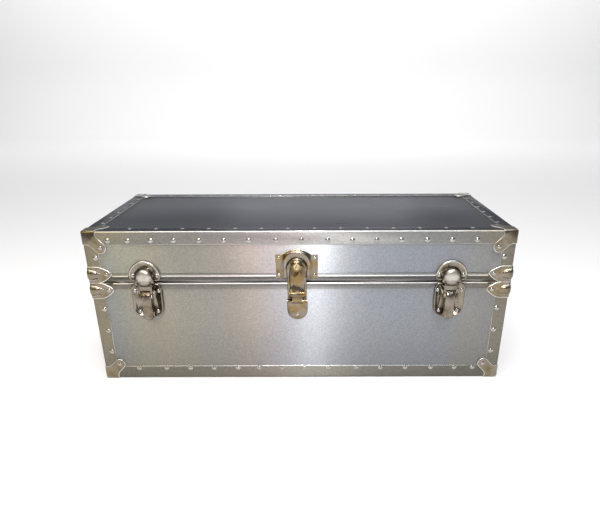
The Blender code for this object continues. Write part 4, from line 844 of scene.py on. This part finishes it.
# Degrees between two faces up to which they are shaded as one

SKIN_ANGLE = 32
CORNER_ANGLE = 38
LINK_ANGLE = 78
HARDWARE_ANGLE = 58

# Name, kind of edge, slot and starts of the nodes' names

BEADED = (
    ("binding", "binding", "bright_binding", ("lid_edge_binding", "chest_bottom_binding",
                                              "chest_corner_angle")),
    ("plate", "plate", "nickel_plate", ("lid_corner_cap", "chest_corner_cap", "draw_bolt_keeper",
                                        "draw_bolt_base", "lock_base_plate")),
    ("lock_plate", "lock", "nickel_plate", ("lock_lid_plate",)),
    ("clamp", "clamp", "nickel_plate", ("lid_corner_clamp", "chest_corner_clamp")),
)


class TRUNK_OT_boards(bpy.types.Operator):
    """Give every node of the frame its procedural finish"""
    bl_idname = "trunk.boards"
    bl_label = "Frame finishes"

    def execute(self, context):
        for node, obj in NODES.items():
            dress(obj, SLOT_OF[node])
        return {"FINISHED"}


class TRUNK_OT_cladding(bpy.types.Operator):
    """Shade the cover sheets, bindings and rims smooth round their folds"""
    bl_idname = "trunk.cladding"
    bl_label = "Cladding and rims"

    def execute(self, context):
        corners = [node for node in sorted(NODES) if node.startswith("chest_corner_angle")]
        for node in (*SKINS, *corners):
            smooth_copy(node, SKIN_ANGLE)
        return {"FINISHED"}


class TRUNK_OT_hardware(bpy.types.Operator):
    """Shade the caps, clamps, bolts, lock, hinges and handles smooth"""
    bl_idname = "trunk.hardware"
    bl_label = "Hardware"

    def execute(self, context):
        for node in sorted(NODES):
            if "_corner_cap_" in node or "_corner_clamp_" in node:
                smooth_copy(node, CORNER_ANGLE)
            elif node.startswith("draw_bolt_link"):
                smooth_copy(node, LINK_ANGLE)
            elif node.startswith(("draw_bolt", "hinge", "side_handle", "lock")):
                smooth_copy(node, HARDWARE_ANGLE)
        return {"FINISHED"}


def set_rivets(sizes, kind, slot, spots_of):
    """Set one kind of rivets on each body."""
    tree = rivet_tree()
    values = {"Head radius": sizes.head_radius, "Head height": sizes.head_height, "Flange": sizes.flange}
    for body, spots in spots_of.items():
        run_tree(f"{body}_{kind}_rivets", spots_mesh(spots), tree, body, slot, "rivet_steel", **values)


class TRUNK_OT_binding_rivets(bpy.types.Operator):
    """Set the rivets of the edge bindings"""
    bl_idname = "trunk.binding_rivets"
    bl_label = "Binding rivets"

    def execute(self, context):
        sizes = context.scene.trunk_rivets
        set_rivets(sizes, "binding", "bright_binding", binding_spots(sizes))
        return {"FINISHED"}


class TRUNK_OT_plate_rivets(bpy.types.Operator):
    """Set the rivets of the caps, clamps, bolts, lock, hinges and handles"""
    bl_idname = "trunk.plate_rivets"
    bl_label = "Hardware rivets"

    def execute(self, context):
        sizes = context.scene.trunk_rivets
        plates = plate_spots(sizes.small_share)
        spots_of = {body: cap_spots(body, sizes.small_share) + plates[body] for body in ("lid", "chest")}
        set_rivets(sizes, "hardware", "nickel_plate", spots_of)
        return {"FINISHED"}


class TRUNK_OT_edge_beads(bpy.types.Operator):
    """Round the free edges of the bindings, caps, clamps and plates"""
    bl_idname = "trunk.edge_beads"
    bl_label = "Edge beads"

    def execute(self, context):
        sizes = context.scene.trunk_beads
        tree = bead_tree()
        for name, kind, slot, starts in BEADED:
            radius = getattr(sizes, kind)
            for body in ("lid", "chest"):
                nodes = [node for node in sorted(NODES) if BODY_OF[node] == body and node.startswith(starts)]
                if nodes:
                    lines = outline_mesh(nodes, radius)
                    run_tree(f"{body}_{name}_edges", lines, tree, body, slot, "edge_steel",
                             **{"Bead radius": radius})
        return {"FINISHED"}


# Stage. The camera's angles are pitch, yaw and roll in degrees; its centre is in pixels of the image.

CAMERA_PLACE = Vector((0.0243, -1.1985, 0.5392))
CAMERA_ANGLES = (26.426, -0.0375, 0.1971)
FOCAL_PIXELS = 569.74
IMAGE_CENTRE = (313.19, 362.41)
IMAGE_SIZE = (600, 530)
SENSOR = 36.0
FAR_CLIP = 50.0


def add_camera():
    """The camera that was fitted to the photo."""
    pitch, yaw, roll = (math.radians(angle) for angle in CAMERA_ANGLES)
    ahead = Vector((math.sin(yaw) * math.cos(pitch), math.cos(yaw) * math.cos(pitch), -math.sin(pitch)))
    level = Vector((math.cos(yaw), -math.sin(yaw), 0))
    down = ahead.cross(level)
    across = level * math.cos(roll) + down * math.sin(roll)
    down = down * math.cos(roll) - level * math.sin(roll)
    data = bpy.data.cameras.new("camera")
    data.sensor_width = SENSOR
    data.lens = FOCAL_PIXELS * SENSOR / IMAGE_SIZE[0]
    data.shift_x = (IMAGE_SIZE[0] / 2 - IMAGE_CENTRE[0]) / IMAGE_SIZE[0]
    data.shift_y = (IMAGE_CENTRE[1] - IMAGE_SIZE[1] / 2) / IMAGE_SIZE[0]
    data.clip_end = FAR_CLIP
    camera = bpy.data.objects.new("camera", data)
    bpy.context.scene.collection.objects.link(camera)
    turn = camera.matrix_world.copy()
    for row in range(3):
        turn[row][0] = across[row]
        turn[row][1] = -down[row]
        turn[row][2] = -ahead[row]
        turn[row][3] = CAMERA_PLACE[row]
    camera.matrix_world = turn
    bpy.context.scene.camera = camera


def add_lamp(name, place, aim, size, power, colour):
    """A rectangular area lamp at a place, turned to its aim."""
    data = bpy.data.lights.new(name, "AREA")
    data.shape = "RECTANGLE"
    data.size, data.size_y = size
    data.energy = power
    data.color = colour
    lamp = bpy.data.objects.new(name, data)
    bpy.context.scene.collection.objects.link(lamp)
    lamp.location = place
    lamp.rotation_euler = (Vector(aim) - Vector(place)).to_track_quat("-Z", "Y").to_euler()


# Name, place, aim, width and height, power and colour of each lamp

LAMPS = (
    ("overhead", (0.0, 2.2, 3.2), (0, 2.2, 0), (6.0, 5.0), 66, (1, 1, 1)),
    ("key", (0.0, -0.85, 2.3), (0, -0.4, 0.2), (3.0, 1.2), 46, (1, 1, 1)),
    ("front", (0.06, -1.6, 1.50), (0.05, -0.18, 0.15), (0.08, 1.5), 20, (1, 1, 1)),
    ("rosy", (-0.30, -1.6, 1.30), (-0.1, -0.18, 0.15), (0.25, 1.0), 5.0, (1.0, 0.66, 0.66)),
    ("warm", (-1.20, -1.5, 1.20), (-0.35, -0.18, 0.15), (0.40, 1.0), 2.6, (1.0, 0.84, 0.12)),
    ("cool", (0.60, -1.6, 1.20), (0.2, -0.18, 0.15), (0.50, 1.0), 1.0, (0.35, 0.66, 1.0)),
    ("rear", (0.15, 5.0, 1.65), (0, 0, 0.3), (2.3, 0.8), 8, (1, 1, 1)),
    ("wall", (0.0, 4.0, 2.8), (0, 5.6, 0.5), (8.0, 0.5), 80, (1, 1, 1)),
)
ROOM = (0.30, 0.30, 0.31)

# The backdrop: its ends along Y, half its width, the radius and steps of its bend, the top of its wall

BACKDROP_NEAR = -4.0
BACKDROP_FAR = 5.6
BACKDROP_HALF = 7.0
BEND = 0.7
BEND_STEPS = 12
WALL_TOP = 1.285


def add_backdrop(colour):
    """A floor that turns up into a low wall behind the trunk."""
    rows = [(BACKDROP_NEAR, 0.0)]
    for step in range(BEND_STEPS + 1):
        angle = math.pi / 2 * step / BEND_STEPS
        rows.append((BACKDROP_FAR - BEND + BEND * math.sin(angle), BEND - BEND * math.cos(angle)))
    rows.append((BACKDROP_FAR, WALL_TOP))
    points = [(side, y, z) for y, z in rows for side in (-BACKDROP_HALF, BACKDROP_HALF)]
    faces = [(2 * i, 2 * i + 1, 2 * i + 3, 2 * i + 2) for i in range(len(rows) - 1)]
    mesh = bpy.data.meshes.new("backdrop")
    mesh.from_pydata(points, [], faces)
    mesh.shade_smooth()
    obj = bpy.data.objects.new("backdrop", mesh)
    bpy.context.scene.collection.objects.link(obj)
    finish = Finish("backdrop", Roughness=0.9)
    finish.feed("Base Color", rgba(colour))
    mesh.materials.append(finish.material)


class TRUNK_OT_stage(bpy.types.Operator):
    """Put up the floor, the lamps and the camera"""
    bl_idname = "trunk.stage"
    bl_label = "Studio"

    def execute(self, context):
        studio = context.scene.trunk_studio
        add_camera()
        add_backdrop(tuple(studio.floor))
        for name, place, aim, size, power, colour in LAMPS:
            add_lamp(name, place, aim, size, power * studio.level, colour)
        world = bpy.data.worlds.new("studio")
        world.use_nodes = True
        world.node_tree.nodes["Background"].inputs["Color"].default_value = rgba(ROOM)
        context.scene.world = world
        context.scene.view_settings.view_transform = "Standard"
        return {"FINISHED"}


class TRUNK_PT_panel(bpy.types.Panel):
    """The steps of the trunk and their sizes and colours"""
    bl_idname = "TRUNK_PT_panel"
    bl_label = "Metal trunk"
    bl_space_type = "VIEW_3D"
    bl_region_type = "UI"
    bl_category = "Trunk"

    def draw(self, context):
        for operator in STEPS:
            self.layout.operator(operator.bl_idname)
        for name in GROUPS:
            group = getattr(context.scene, name)
            for key in group.__annotations__:
                self.layout.prop(group, key)


STEPS = (TRUNK_OT_boards, TRUNK_OT_cladding, TRUNK_OT_hardware, TRUNK_OT_binding_rivets,
         TRUNK_OT_plate_rivets, TRUNK_OT_edge_beads, TRUNK_OT_stage)
GROUPS = {"trunk_rivets": TrunkRivets, "trunk_beads": TrunkBeads, "trunk_finishes": TrunkFinishes,
          "trunk_studio": TrunkStudio}


def register():
    for group in (*GROUPS.values(), *STEPS, TRUNK_PT_panel):
        bpy.utils.register_class(group)
    for name, group in GROUPS.items():
        setattr(bpy.types.Scene, name, bpy.props.PointerProperty(type=group))


def unregister():
    for name in GROUPS:
        delattr(bpy.types.Scene, name)
    for group in (TRUNK_PT_panel, *reversed(STEPS), *GROUPS.values()):
        bpy.utils.unregister_class(group)


def main():
    """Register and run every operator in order."""
    register()
    for step in STEPS:
        group, name = step.bl_idname.split(".")
        getattr(getattr(bpy.ops, group), name)()


if __name__ == "__main__":
    main()
